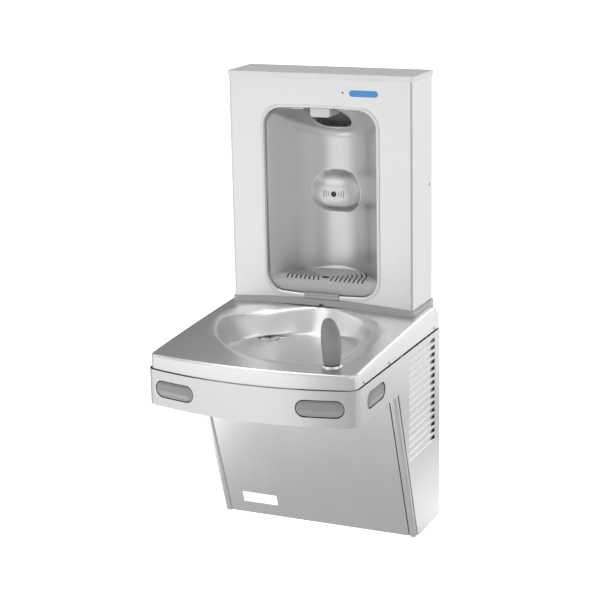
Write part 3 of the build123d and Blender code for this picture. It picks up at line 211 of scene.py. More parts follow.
def tone(rgb, factor=1.0):
    return tuple(min(1.0, part * factor) for part in rgb[:3]) + (1.0,)


def new_paint(name):
    return Paint(bpy.data.materials.new(name))


def speckled(paint, rgb, where, scale, spread):
    """A colour that varies a little in lightness over the surface."""
    return paint.blend(paint.noise(where, scale, 3.0), tone(rgb, 1.0 - spread), tone(rgb, 1.0 + spread))


def steel(name, rgb, roughness, grain, along, spread=0.05, lift=0.12, round_edge=0.0):
    """Brushed stainless steel: fine lines along one direction, faint cloudiness, soft wear."""
    paint = new_paint(name)
    lines = paint.noise(paint.object_place(grain), 1.0, 4.0, 0.65)
    cloud = paint.noise(paint.object_place(), 7.0, 3.0)
    rub = paint.noise(paint.object_place(along), 1.0, 2.0)
    rough = roughness + (lines - 0.5) * spread + (cloud - 0.5) * spread * 0.9 + (rub - 0.5) * spread
    shade = paint.blend(lines * 0.6 + cloud * 0.4, tone(rgb, 0.94), tone(rgb, 1.06))
    normal = paint.relief(lines, lift, 0.0002, round_edge)
    return paint.surface(Base_Color=shade, Metallic=1.0, Roughness=rough, Normal=normal)


def moulded(name, rgb, roughness, grain_size=1800.0, lift=0.10, round_edge=0.0, spread=0.04, coat=0.0):
    """Moulded plastic or rubber with a fine eggshell grain."""
    paint = new_paint(name)
    grain = paint.noise(paint.object_place(), grain_size, 2.0)
    cloud = paint.noise(paint.object_place(), 22.0, 2.0)
    return paint.surface(
        Base_Color=speckled(paint, rgb, paint.object_place(), 40.0, spread),
        Roughness=roughness + (grain - 0.5) * 0.08 + (cloud - 0.5) * 0.06,
        Coat_Weight=coat,
        Normal=paint.relief(grain, lift, 0.0001, round_edge),
    )


def spangled(name, rgb):
    """Galvanised sheet with its zinc crystals."""
    paint = new_paint(name)
    cells = paint.node(
        "ShaderNodeTexVoronoi", {"feature": "F1"}, {"Vector": paint.object_place(), "Scale": 70.0},
        output="Color",
    )
    grey = paint.node("ShaderNodeRGBToBW", inputs={0: cells})
    shade = paint.blend(grey, tone(rgb, 0.82), tone(rgb, 1.1))
    return paint.surface(Base_Color=shade, Metallic=1.0, Roughness=0.42 + (grey - 0.5) * 0.18)


def finned(name, rgb):
    """Thin aluminium fins between the tubes."""
    paint = new_paint(name)
    comb = paint.noise(paint.object_place((2.0, 900.0, 4.0)), 1.0, 2.0)
    dust = paint.noise(paint.object_place(), 30.0, 4.0)
    shade = paint.blend(dust, tone(rgb, 0.8), tone(rgb, 1.05))
    return paint.surface(
        Base_Color=shade, Metallic=1.0, Roughness=0.4 + (dust - 0.5) * 0.2,
        Normal=paint.relief(comb, 0.3, 0.0004),
    )


def tarnished(name, rgb, roughness, dull):
    """Copper or brass, duller in patches."""
    paint = new_paint(name)
    patch = paint.noise(paint.object_place(), 45.0, 4.0)
    shade = paint.blend(patch, tone(rgb), tone(dull))
    return paint.surface(Base_Color=shade, Metallic=1.0, Roughness=roughness + (patch - 0.5) * 0.2)


def foamed(name, rgb):
    """Black insulating foam with open cells."""
    paint = new_paint(name)
    cells = paint.node(
        "ShaderNodeTexVoronoi", {"feature": "F1"}, {"Vector": paint.object_place(), "Scale": 420.0}
    )
    return paint.surface(
        Base_Color=speckled(paint, rgb, paint.object_place(), 60.0, 0.2),
        Roughness=0.9 - cells * 0.1, Normal=paint.relief(cells, 0.6, 0.0006),
    )


# How much finer the grain is along each axis.
ACROSS = (5.0, 5.0, 1500.0)
ALONG_WALL = (3.0, 3.0, 240.0)
DECK_GRAIN = (6.0, 1500.0, 1500.0)


def finishes(colours):
    """Every finish by the name of its material slot."""
    metal = tuple(colours.steel)
    made = [
        # Painted light: the basin's steel is toned 1.12, lighter than the plain steel, as if the basin were
        # more brightly lit.
        steel("steel_polished", tone(metal, 1.12), 0.32, DECK_GRAIN, (3.0, 40.0, 40.0), 0.04, 0.06),
        steel("steel_satin", metal, 0.30, ACROSS, ALONG_WALL, 0.07, 0.08, 0.0009),
        steel(
            "steel_brushed", tone(metal, 0.95), 0.36, (900.0, 900.0, 9.0), (30.0, 30.0, 4.0),
            0.08, 0.16, 0.0006,
        ),
        # Painted shade: the alcove's steel is toned 0.92, darker than the plain steel, for the shade inside
        # the alcove.
        steel(
            "steel_alcove_painted_shade", tone(metal, 0.92), 0.34, (9.0, 9.0, 900.0), (4.0, 4.0, 260.0), 0.16, 0.18
        ),
        steel("screw_steel", metal, 0.22, (900.0, 900.0, 900.0), (60.0, 60.0, 60.0), 0.05, 0.05),
        steel("spring_steel", tone(metal, 0.8), 0.28, (900.0, 900.0, 900.0), (60.0, 60.0, 60.0), 0.06, 0.08),
        steel("chrome", (0.86, 0.86, 0.87), 0.07, (500.0, 500.0, 500.0), (20.0, 20.0, 20.0), 0.03, 0.01),
        spangled("galvanised", (0.62, 0.64, 0.66)),
        moulded("guard_rubber", tuple(colours.guard), 0.42, 2200.0, 0.08),
        moulded("pad_grey", tuple(colours.pad), 0.36, 2600.0, 0.10),
        moulded("black_plastic", (0.02, 0.02, 0.022), 0.42, round_edge=0.0004),
        moulded("white_plastic", (0.72, 0.72, 0.70), 0.4, round_edge=0.0004),
        moulded("rubber", (0.025, 0.025, 0.025), 0.72),
        moulded("compressor_black", (0.022, 0.022, 0.024), 0.34, 900.0, 0.2),
        foamed("foam_tank", (0.03, 0.03, 0.032)),
        finned("aluminium_fins", (0.66, 0.67, 0.68)),
        moulded("motor_grey", (0.18, 0.185, 0.19), 0.5, 900.0, 0.2, 0.0004),
        moulded("fan_plastic", (0.05, 0.05, 0.055), 0.4, round_edge=0.0003),
        moulded("box_grey", (0.42, 0.43, 0.44), 0.5, round_edge=0.0005),
        tarnished("brass", (0.72, 0.52, 0.24), 0.3, (0.42, 0.29, 0.13)),
        moulded("tube_plastic", (0.62, 0.64, 0.66), 0.3),
        tarnished("copper", (0.80, 0.42, 0.28), 0.28, (0.40, 0.19, 0.12)),
        moulded("adapter_grey", tuple(colours.adapter), 0.4, 2200.0, 0.08, 0.0009),
        moulded("cap_grey", tuple(colours.cap), 0.42, 2200.0, 0.08, 0.0008),
        moulded("plate_white", (0.86, 0.86, 0.86), 0.35, 2600.0, 0.04, 0.0003, 0.02),
        moulded("label_blue", tuple(colours.label), 0.3, 2600.0, 0.03, 0.0002, 0.03, 0.3),
        moulded("led_dark", (0.02, 0.04, 0.04), 0.15, 2600.0, 0.02),
        moulded("housing_dark", (0.085, 0.085, 0.085), 0.45),
        moulded("nozzle_grey", (0.46, 0.46, 0.46), 0.4, 2200.0, 0.06, 0.0005),
        moulded("lens_black", (0.012, 0.012, 0.014), 0.12, 2600.0, 0.02),
        moulded("tray_grey", TRAY_GREY, 0.42, 2200.0, 0.08, 0.0008),
        slotted("tray_slotted", TRAY_GREY),
    ]
    return {material.name.split(".")[0]: material for material in made}


# ---------------------------------------------------------------- shaping helpers
def sheet_from(across, along, place, closed):
    """A grid of faces, each point moved to place(column, row); closed joins its first and last column."""
    mesh = bmesh.new()
    bmesh.ops.create_grid(mesh, x_segments=across, y_segments=along, size=1.0)
    for vert in mesh.verts:
        column = round((vert.co.x + 1.0) / 2.0 * across)
        row = round((vert.co.y + 1.0) / 2.0 * along)
        vert.co = place(column % across if closed else column, row)
    if closed:
        bmesh.ops.remove_doubles(mesh, verts=mesh.verts, dist=1e-6)
    return mesh


def outward(mesh, point, direction):
    """Turns the faces so that the one nearest point looks along direction."""
    bmesh.ops.recalc_face_normals(mesh, faces=mesh.faces)
    nearest = min(mesh.faces, key=lambda face: (face.calc_center_median() - point).length)
    if nearest.normal.dot(direction) < 0.0:
        bmesh.ops.reverse_faces(mesh, faces=mesh.faces)


def finish_piece(mesh, name, finish, slot, body, *nodes):
    """Makes the smooth object, with its finish, body and the CAD nodes it stands for; the slot argument is
    not used.
    """
    data = bpy.data.meshes.new(name)
    for face in mesh.faces:
        face.smooth = True
    mesh.to_mesh(data)
    mesh.free()
    piece = bpy.data.objects.new(name, data)
    bpy.context.scene.collection.objects.link(piece)
    data.materials.append(studio_finishes()[finish])
    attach(piece, body)
    if nodes:
        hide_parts(*nodes)
    return piece


def thicken(piece, thickness):
    wall = piece.modifiers.new("wall", "SOLIDIFY")
    wall.thickness = thickness
    wall.offset = -1.0
    wall.use_even_offset = False


class Outline:
    """A smooth closed plan line around a centre, through a few points that may carry extra values."""

    def __init__(self, centre, points):
        self.centre = Vector(centre)
        rows = []
        for point in points:
            spoke = Vector(point[:2]) - self.centre
            rows.append((math.atan2(spoke.y, spoke.x), spoke.length) + tuple(point[2:]))
        rows.sort()
        self.rows = rows

    def read(self, angle):
        """Distance from the centre and the extra values at an angle."""
        turn = 2 * math.pi
        rows = self.rows
        count = len(rows)
        start = rows[0][0]
        angle = start + (angle - start) % turn
        index = max(i for i in range(count) if rows[i][0] <= angle + 1e-9)

        def at(i):
            return (rows[i % count][0] + turn * (i // count),) + rows[i % count][1:]

        before, here, after, beyond = at(index - 1), at(index), at(index + 1), at(index + 2)
        span = after[0] - here[0]
        t = (angle - here[0]) / span
        values = []
        for k in range(1, len(here)):
            slope_here = (after[k] - before[k]) / (after[0] - before[0]) * span
            slope_after = (beyond[k] - here[k]) / (beyond[0] - here[0]) * span
            values.append(
                (2 * t**3 - 3 * t**2 + 1) * here[k] + (t**3 - 2 * t**2 + t) * slope_here
                + (3 * t**2 - 2 * t**3) * after[k] + (t**3 - t**2) * slope_after
            )
        return values

    def at(self, angle):
        values = self.read(angle)
        spot = self.centre + Vector((math.cos(angle), math.sin(angle))) * values[0]
        return spot, values[1:]


def ease(t):
    t = max(0.0, min(1.0, t))
    return t * t * (3.0 - 2.0 * t)


def soft_least(first, second, width):
    """The lesser of two numbers, blended where they are close."""
    gap = max(width - abs(first - second), 0.0) / width
    return min(first, second) - gap * gap * width * 0.25


def corner(before, knot, after, reach_before, reach_after, steps):
    """Points of a round corner at knot, from the run before it to the run after it."""
    start = knot + (before - knot).normalized() * min(reach_before, (before - knot).length * 0.48)
    end = knot + (after - knot).normalized() * min(reach_after, (after - knot).length * 0.48)
    points = []
    for step in range(steps + 1):
        t = step / steps
        points.append(start * (1 - t) ** 2 + knot * 2 * t * (1 - t) + end * t**2)
    return points


def run(start, end, steps):
    """Points strictly between two points."""
    return [start.lerp(end, step / (steps + 1)) for step in range(1, steps + 1)]


# ---------------------------------------------------------------- basin
BOWL_CENTRE = (-0.005, -0.290)
# Crest where the deck turns down: x, y, corner reach.
BOWL_CREST = [
    (-0.198, -0.222, 0.008), (-0.191, -0.180, 0.010), (-0.150, -0.143, 0.010),
    (-0.075, -0.120, 0.010), (0.010, -0.114, 0.007), (0.090, -0.146, 0.006),
    (0.145, -0.180, 0.006), (0.185, -0.196, 0.008), (0.193, -0.257, 0.008),
    (0.195, -0.321, 0.008), (0.194, -0.400, 0.010), (0.170, -0.446, 0.012),
    (0.108, -0.477, 0.014), (0.060, -0.486, 0.016), (0.010, -0.481, 0.016),
    (-0.040, -0.464, 0.014), (-0.095, -0.424, 0.012), (-0.145, -0.372, 0.010),
    (-0.176, -0.318, 0.007), (-0.194, -0.262, 0.005),
]
# Head of the steep wall: x, y, drop below the deck, corner reach.
BOWL_RIM = [
    (-0.187, -0.236, 0.0035, 0.006), (-0.160, -0.196, 0.0075, 0.008), (-0.128, -0.172, 0.008, 0.012),
    (-0.096, -0.158, 0.007, 0.014), (-0.050, -0.138, 0.005, 0.012), (0.010, -0.124, 0.004, 0.008),
    (0.080, -0.152, 0.004, 0.008), (0.128, -0.186, 0.004, 0.012), (0.158, -0.226, 0.004, 0.016),
    (0.168, -0.290, 0.004, 0.020), (0.171, -0.350, 0.004, 0.022), (0.166, -0.408, 0.004, 0.024),
    (0.140, -0.440, 0.004, 0.024), (0.090, -0.460, 0.004, 0.026), (0.020, -0.464, 0.004, 0.026),
    (-0.040, -0.446, 0.004, 0.024), (-0.095, -0.406, 0.004, 0.020), (-0.142, -0.354, 0.004, 0.014),
    (-0.172, -0.300, 0.003, 0.008),
]
# Foot of the wall: x, y, height, corner reach.
BOWL_FOOT = [
    (-0.150, -0.300, 0.046, 0.010), (-0.146, -0.262, 0.045, 0.010), (-0.122, -0.222, 0.044, 0.009),
    (-0.086, -0.190, 0.044, 0.008), (-0.040, -0.157, 0.045, 0.008), (0.000, -0.146, 0.046, 0.009),
    (0.060, -0.164, 0.049, 0.010), (0.110, -0.200, 0.053, 0.014), (0.136, -0.250, 0.056, 0.018),
    (0.144, -0.310, 0.058, 0.020), (0.140, -0.366, 0.060, 0.024), (0.110, -0.404, 0.060, 0.028),
    (0.050, -0.418, 0.058, 0.030), (-0.010, -0.410, 0.054, 0.028), (-0.070, -0.378, 0.050, 0.022),
    (-0.124, -0.340, 0.047, 0.014),
]
DRAIN = Vector((-0.093, -0.200))
DRAIN_EDGE = 0.0165
DRAIN_Z = 0.0396
STAR_ARMS = 8
STAR_HEIGHT = 0.0011
# Distance from the drain where the star rises and falls away, and over what length.
STAR_RISE = (0.020, 0.004)
STAR_FALL = (0.030, 0.012)
# Points along the back, its round, the sides, the front corners and the bowed front.
BACK_STEPS, ROUND_STEPS, SIDE_STEPS, CORNER_STEPS, FRONT_STEPS = 40, 20, 60, 16, 70


def deck_height(x, y):
    """Height of the pressed deck: falls to the front, crowned sideways, rounded down at the back."""
    depth = -basin_low.y
    middle = 2 * DECK_Z[1] - (DECK_Z[0] + DECK_Z[2]) / 2
    t = min(1.0, max(0.0, -y / depth))
    ridge = DECK_Z[0] * (1 - t) ** 2 + 2 * middle * t * (1 - t) + DECK_Z[2] * t**2
    half = basin_high.x
    crown = (half**2 + DECK_CROWN**2) / (2 * DECK_CROWN)
    height = ridge - (crown - math.sqrt(crown**2 - min(abs(x), half) ** 2))
    past = y - (basin_high.y - DECK_REAR_ROUND)
    if past > 0.0:
        past = min(past, DECK_REAR_ROUND)
        height -= DECK_REAR_ROUND - math.sqrt(DECK_REAR_ROUND**2 - past**2)
    return height


def deck_outline():
    """Plan points round the basin with the direction outwards at each, denser where it bends."""
    half, back, front = basin_high.x, basin_high.y, basin_low.y
    radius = (half**2 + BASIN_BOW**2) / (2 * BASIN_BOW)
    centre_y = front + radius
    turn_x = half - BASIN_CORNER
    turn_y = centre_y - math.sqrt((radius - BASIN_CORNER) ** 2 - turn_x**2)
    tilt = math.atan2(turn_y - centre_y, turn_x)
    right = []
    for step in range(BACK_STEPS):
        right.append((Vector((half * step / BACK_STEPS, back)), Vector((0.0, 1.0))))
    right.append((Vector((half, back)), Vector((1.0, 1.0))))
    for step in range(1, ROUND_STEPS + 1):
        swing = math.radians(90 * step / ROUND_STEPS)
        y = back - DECK_REAR_ROUND * (1 - math.cos(swing))
        right.append((Vector((half, y)), Vector((1.0, 0.0))))
    start_y = back - DECK_REAR_ROUND
    for step in range(1, SIDE_STEPS):
        y = start_y + (turn_y - start_y) * step / SIDE_STEPS
        right.append((Vector((half, y)), Vector((1.0, 0.0))))
    for step in range(CORNER_STEPS + 1):
        swing = tilt * step / CORNER_STEPS
        out = Vector((math.cos(swing), math.sin(swing)))
        right.append((Vector((turn_x, turn_y)) + out * BASIN_CORNER, out))
    for step in range(1, FRONT_STEPS + 1):
        swing = tilt + (-math.pi / 2 - tilt) * step / FRONT_STEPS
        out = Vector((math.cos(swing), math.sin(swing)))
        right.append((Vector((0.0, centre_y)) + out * radius, out))
    left = [(Vector((-spot.x, spot.y)), Vector((-out.x, out.y))) for spot, out in reversed(right[1:-1])]
    return right + left


def basin_column(spot, out, outlines, edge):
    """Points from the drain's edge, up the bowl, over the deck and down the skirt."""
    crest_line, rim_line, foot_line = outlines
    centre = Vector(BOWL_CENTRE)
    angle = math.atan2(spot.y - centre.y, spot.x - centre.x)
    crest_spot, (crest_reach,) = crest_line.at(angle)
    rim_spot, (rim_drop, rim_reach) = rim_line.at(angle)
    foot_spot, (foot_z, foot_reach) = foot_line.at(angle)
    spoke = Vector((math.cos(angle), math.sin(angle)))
    drain = (DRAIN + spoke * DRAIN_EDGE).to_3d()
    drain.z = DRAIN_Z
    foot = foot_spot.to_3d()
    foot.z = foot_z
    rim = rim_spot.to_3d()
    rim.z = deck_height(*rim_spot) - rim_drop
    crest = crest_spot.to_3d()
    crest.z = deck_height(*crest_spot)
    squared = Vector((out.x * edge, out.y * (edge if out.y < 0.5 else 0.0)))
    inner = spot - squared
    past_crest = crest_spot.lerp(inner, 0.3).to_3d()
    past_crest.z = deck_height(past_crest.x, past_crest.y)
    foot_round = corner(drain, foot, rim, foot_reach, foot_reach, 8)
    rim_round = corner(foot, rim, crest, rim_reach, rim_reach, 6)
    crest_round = corner(rim, crest, past_crest, crest_reach, crest_reach, 4)
    points = [drain - Vector((0.0, 0.0, 0.002)), drain]
    for step in range(1, 15):
        t = step / 15
        point = drain.lerp(foot_round[0], t)
        flat = (point.to_2d() - DRAIN).length
        arm = max(0.0, math.cos(STAR_ARMS * angle)) ** 3
        point.z = DRAIN_Z + (foot_round[0].z - DRAIN_Z) * t**1.25
        rise = ease((flat - STAR_RISE[0]) / STAR_RISE[1])
        fall = ease((flat - STAR_FALL[0]) / STAR_FALL[1])
        point.z += STAR_HEIGHT * arm * rise * (1.0 - fall)
        points.append(point)
    points += foot_round + run(foot_round[-1], rim_round[0], 3) + rim_round
    points += run(rim_round[-1], crest_round[0], 2) + crest_round
    last = crest_round[-1].to_2d()
    for step in range(1, 13):
        flat = last.lerp(inner, ease(step / 12) * 0.5 + step / 24)
        points.append(Vector((flat.x, flat.y, deck_height(flat.x, flat.y))))
    top = points[-1].z
    for step in range(1, 8):
        swing = math.radians(90 * step / 7)
        flat = inner + squared * math.sin(swing)
        points.append(Vector((flat.x, flat.y, top - edge * (1 - math.cos(swing)))))
    low = top - edge
    for share in (0.3, 0.6, 0.9, 1.0):
        points.append(Vector((spot.x, spot.y, low + (SEAM_Z - low) * share)))
    return points


class FOUNTAIN_OT_basin(bpy.types.Operator):
    """Presses the basin: bowl, crest, crowned deck, rounded edge and skirt"""

    bl_idname = "fountain.basin"
    bl_label = "Basin"

    def execute(self, context):
        sizes = context.scene.fountain_sizes
        outlines = [Outline(BOWL_CENTRE, points) for points in (BOWL_CREST, BOWL_RIM, BOWL_FOOT)]
        columns = [basin_column(spot, out, outlines, sizes.deck_edge) for spot, out in deck_outline()]
        mesh = sheet_from(len(columns), len(columns[0]) - 1, lambda i, j: columns[i][j], closed=True)
        outward(mesh, Vector((0.0, -0.1, 0.11)), Vector((0.0, 0.0, 1.0)))
        # The basin takes the steel toned lighter as painted light.
        piece = finish_piece(
            mesh, "basin_pressing", "steel_polished", "steel_polished", "cabinet", "basin"
        )
        thicken(piece, sizes.sheet)
        return {"FINISHED"}


# ---------------------------------------------------------------- bottle alcove
ALCOVE_HALF = 0.130
ALCOVE_LOW = 0.127
ALCOVE_HIGH = 0.542
ALCOVE_BOW = 0.005
ALCOVE_CORNER = 0.040
ALCOVE_APEX_Y = -0.125
ALCOVE_RADIUS = 0.110
ALCOVE_LEAD = 0.008
ALCOVE_MIDDLE = Vector((0.0, 0.335))
BOSS_Z = 0.340
BOSS_ROOT = (0.058, 0.044)
BOSS_ROOT_LIFT = 0.006
# Gap under the top edge, rise of the floor, and how widely ceiling and floor blend into the wall.
CEILING_GAP = 0.004
FLOOR_RISE = 2.6
CEILING_BLEND = 0.060
FLOOR_BLEND = 0.010
# Middle across and up, half width and half height of the nozzle's pocket.
POCKET_X, POCKET_Z, POCKET_HALF_X, POCKET_HALF_Z = 0.001, 0.517, 0.044, 0.027
POCKET_POWER = 2.6
POCKET_DEPTH = 0.030
TRIM_WIDTH = 0.0095
TRIM_PROUD = 0.0013
TRIM_ROUND = 0.0012
RIM_ROLL = 0.004
ARC_STEPS, WALL_STEPS, EDGE_STEPS = 24, 60, 44


def alcove_outline():
    """Front outline of the alcove with the direction outwards at each point."""
    half = ALCOVE_HALF
    corner_r = ALCOVE_CORNER
    places = []
    for side_x, side_z, start in ((1, 1, 90), (1, -1, 0), (-1, -1, -90), (-1, 1, -180)):
        edge_z = ALCOVE_HIGH if side_z > 0 else ALCOVE_LOW
        bow_here = ALCOVE_BOW * (1 - ((half - corner_r) / half) ** 2)
        centre = Vector((side_x * (half - corner_r), edge_z - side_z * (corner_r + ALCOVE_BOW - bow_here)))
        for step in range(ARC_STEPS + 1):
            swing = math.radians(start - 90 * step / ARC_STEPS)
            out = Vector((math.cos(swing), math.sin(swing)))
            places.append((centre + out * corner_r, out))
        if side_x * side_z > 0:
            low, high = ALCOVE_LOW + corner_r, ALCOVE_HIGH - corner_r
            for step in range(1, WALL_STEPS):
                share = step / WALL_STEPS
                z = high + (low - high) * share if side_x > 0 else low + (high - low) * share
                places.append((Vector((side_x * half, z)), Vector((side_x, 0.0))))
        else:
            for step in range(1, EDGE_STEPS):
                x = (half - corner_r) * (1 - 2 * step / EDGE_STEPS) * (1 if side_z < 0 else -1)
                bow = ALCOVE_BOW * (1 - (x / half) ** 2)
                z = edge_z - side_z * (ALCOVE_BOW - bow)
                lean = -2 * ALCOVE_BOW * x / half**2 * side_z
                out = Vector((-lean, 1.0)).normalized() * side_z
                places.append((Vector((x, z)), out))
    return places


def pocket_spread(x, z):
    """Nothing in the middle of the nozzle's pocket, one at its edge."""
    across = abs((x - POCKET_X) / POCKET_HALF_X) ** POCKET_POWER
    up = abs((z - POCKET_Z) / POCKET_HALF_Z) ** POCKET_POWER
    return (across + up) ** (1 / POCKET_POWER)


def alcove_wall(x, z, slope, boss_height):
    """Y of the alcove's skin at a place seen from the front."""
    lead = PANEL_Y + ALCOVE_LEAD
    reach = math.hypot(ALCOVE_HALF, lead - ALCOVE_APEX_Y)
    turn = math.atan2(lead - ALCOVE_APEX_Y, ALCOVE_HALF) + math.acos(ALCOVE_RADIUS / reach)
    touch_x = ALCOVE_RADIUS * math.cos(turn)
    touch_y = ALCOVE_APEX_Y + ALCOVE_RADIUS * math.sin(turn)
    across = abs(x)
    if across < touch_x:
        wall = ALCOVE_APEX_Y + math.sqrt(ALCOVE_RADIUS**2 - across**2)
    else:
        share = (across - touch_x) / (ALCOVE_HALF - touch_x)
        wall = touch_y + (lead - touch_y) * share
    ceiling = lead + (ALCOVE_HIGH - CEILING_GAP - z) / slope
    floor = lead + (z - ALCOVE_LOW) * FLOOR_RISE
    skin = soft_least(soft_least(wall, ceiling, CEILING_BLEND), floor, FLOOR_BLEND)
    half_wide, half_high = BOSS_ROOT
    upper = ease((z - BOSS_Z) / 0.024 + 0.5)
    lift = BOSS_ROOT_LIFT * min(1.0, max(0.0, (z - BOSS_Z) / half_high))
    spread = (abs(x / half_wide) ** 2.5 + abs((z - BOSS_Z - lift) / half_high) ** 2.3) ** 0.42
    if spread < 1.0:
        skin += (BOSS_WALL_Y - boss_height - skin) * (1.0 - spread ** (4.0 - upper)) ** 0.7
    return skin + POCKET_DEPTH * ease((1.10 - pocket_spread(x, z)) / 0.16)


class FOUNTAIN_OT_alcove(bpy.types.Operator):
    """Draws the steel alcove: rolled rim, curved wall, sloped ceiling, sensor boss and nozzle pocket"""

    bl_idname = "fountain.alcove"
    bl_label = "Bottle alcove"

    def execute(self, context):
        sizes = context.scene.fountain_sizes
        rows = 96
        rim_rows = 14
        columns = []
        for spot, out in alcove_outline():
            points = []
            for step in range(5):
                swing = math.radians(90 * step / 4)
                reach = TRIM_WIDTH - TRIM_ROUND + TRIM_ROUND * math.cos(swing)
                flat = spot + out * reach
                points.append(Vector((flat.x, PANEL_Y - TRIM_PROUD * math.sin(swing), flat.y)))
            for step in range(1, 3):
                flat = spot + out * ((TRIM_WIDTH - TRIM_ROUND) * (1 - step / 3) + RIM_ROLL * step / 3)
                points.append(Vector((flat.x, PANEL_Y - TRIM_PROUD, flat.y)))
            for step in range(5):
                swing = math.radians(90 * step / 4)
                flat = spot + out * (RIM_ROLL - RIM_ROLL * math.sin(swing))
                depth = PANEL_Y - TRIM_PROUD + RIM_ROLL * (1 - math.cos(swing))
                points.append(Vector((flat.x, depth, flat.y)))
            for step in range(1, 3):
                points.append(Vector((spot.x, PANEL_Y - TRIM_PROUD + RIM_ROLL + 0.0020 * step, spot.y)))
            for step in range(1, rows + 1):
                share = step / rows
                flat = spot.lerp(ALCOVE_MIDDLE, share)
                skin = alcove_wall(flat.x, flat.y, sizes.ceiling_slope, sizes.boss_height)
                points.append(Vector((flat.x, max(skin, RIM_BACK_Y), flat.y)))
            columns.append(points)
        mesh = sheet_from(
            len(columns), rows + rim_rows - 1, lambda i, j: columns[i][j], closed=True
        )
        outward(mesh, Vector((0.05, -0.02, 0.25)), Vector((0.0, -1.0, 0.0)))
        for face in mesh.faces:
            middle = face.calc_center_median()
            sunk = pocket_spread(middle.x, middle.z) < 1.0 and middle.y > PANEL_Y + 0.03
            face.material_index = 1 if sunk else 0
        # The alcove skin takes the steel toned darker as painted shade.
        piece = finish_piece(
            mesh, "alcove_skin", "steel_alcove_painted_shade", "steel_brushed", "cabinet", "alcove_liner"
        )
        piece.data.materials.append(studio_finishes()["housing_dark"])
        thicken(piece, sizes.sheet * 0.8)
        return {"FINISHED"}


# ---------------------------------------------------------------- drip tray
TRAY_Z = 0.163
TRAY_FLAT_Y = -0.094
TRAY_CREASE = 0.0115
# Share of the lip before its nose, how far the nose runs out, and the bulge below it.
LIP_SHARE = 0.45
LIP_NOSE = 0.003
LIP_BULGE = 0.002
TRAY_GREY = (0.42, 0.42, 0.42)
# The drain slots: middle of their rings, pitch, first ring, half width, and reach inwards and out.
RINGS_Y = -0.097
RING_PITCH = 0.0105
RING_FIRST = 0.0170
SLOT_HALF = 0.0018
RINGS_INSIDE = 0.0155
RINGS_OUTSIDE = 0.0935
SLOT_FRONT = 0.010
BORE_RADIUS = 0.0095
# Width over which a slot's edge softens.
SLOT_EDGE = 0.001


def slotted(name, rgb):
    """Moulded grey with the tray's curved drain slots in two fans and an oval drain in the middle, painted
    near-black as painted shade in place of openings.
    """
    paint = new_paint(name)
    place = paint.node("ShaderNodeTexCoord", output="Object")
    parts = paint.node("ShaderNodeSeparateXYZ", inputs={0: place}).output.node
    x, y = Value(paint, parts.outputs[0]), Value(paint, parts.outputs[1]) - RINGS_Y
    reach = (x * x + y * y) ** 0.5
    turn = (reach - RING_FIRST) / RING_PITCH
    ring = paint.node("ShaderNodeMath", {"operation": "PINGPONG"}, {0: turn + 10.0, 1: 0.5})

    def below(value, limit, soft):
        """One where value is under limit, falling to nothing over soft."""
        return paint.node(
            "ShaderNodeMapRange", {"clamp": True},
            {0: value, 1: limit - soft / 2, 2: limit + soft / 2, 3: 1.0, 4: 0.0},
        )

    breadth = paint.node("ShaderNodeMath", {"operation": "ABSOLUTE"}, {0: x})
    depth = paint.node("ShaderNodeMath", {"operation": "ABSOLUTE"}, {0: y})
    slots = below(ring, SLOT_HALF / RING_PITCH, 0.05) * below(reach, RINGS_OUTSIDE, SLOT_EDGE)
    slots = slots * below(RINGS_INSIDE - reach, 0.0, SLOT_EDGE)
    slots = slots * below(depth - breadth * 0.75, 0.0, SLOT_EDGE)
    slots = slots * below(0.0 - y, SLOT_FRONT, SLOT_EDGE)
    bore = below((x * x + y * y * 5.0) ** 0.5, BORE_RADIUS, SLOT_EDGE)
    painted_dark_slots = paint.node("ShaderNodeMath", {"operation": "MAXIMUM"}, {0: slots, 1: bore})
    grain = paint.noise(paint.object_place(), 2200.0, 2.0)
    moulding = speckled(paint, rgb, paint.object_place(), 40.0, 0.03)
    # Painted shade: the slots and the drain are coloured near-black for the dark openings; the moulding is
    # not cut.
    shade = paint.blend(painted_dark_slots, moulding, (0.02, 0.02, 0.02, 1.0))
    normal = paint.relief(grain * 0.03 - painted_dark_slots, 0.6, 0.001)
    return paint.surface(Base_Color=shade, Roughness=0.42 + (grain - 0.5) * 0.08, Normal=normal)


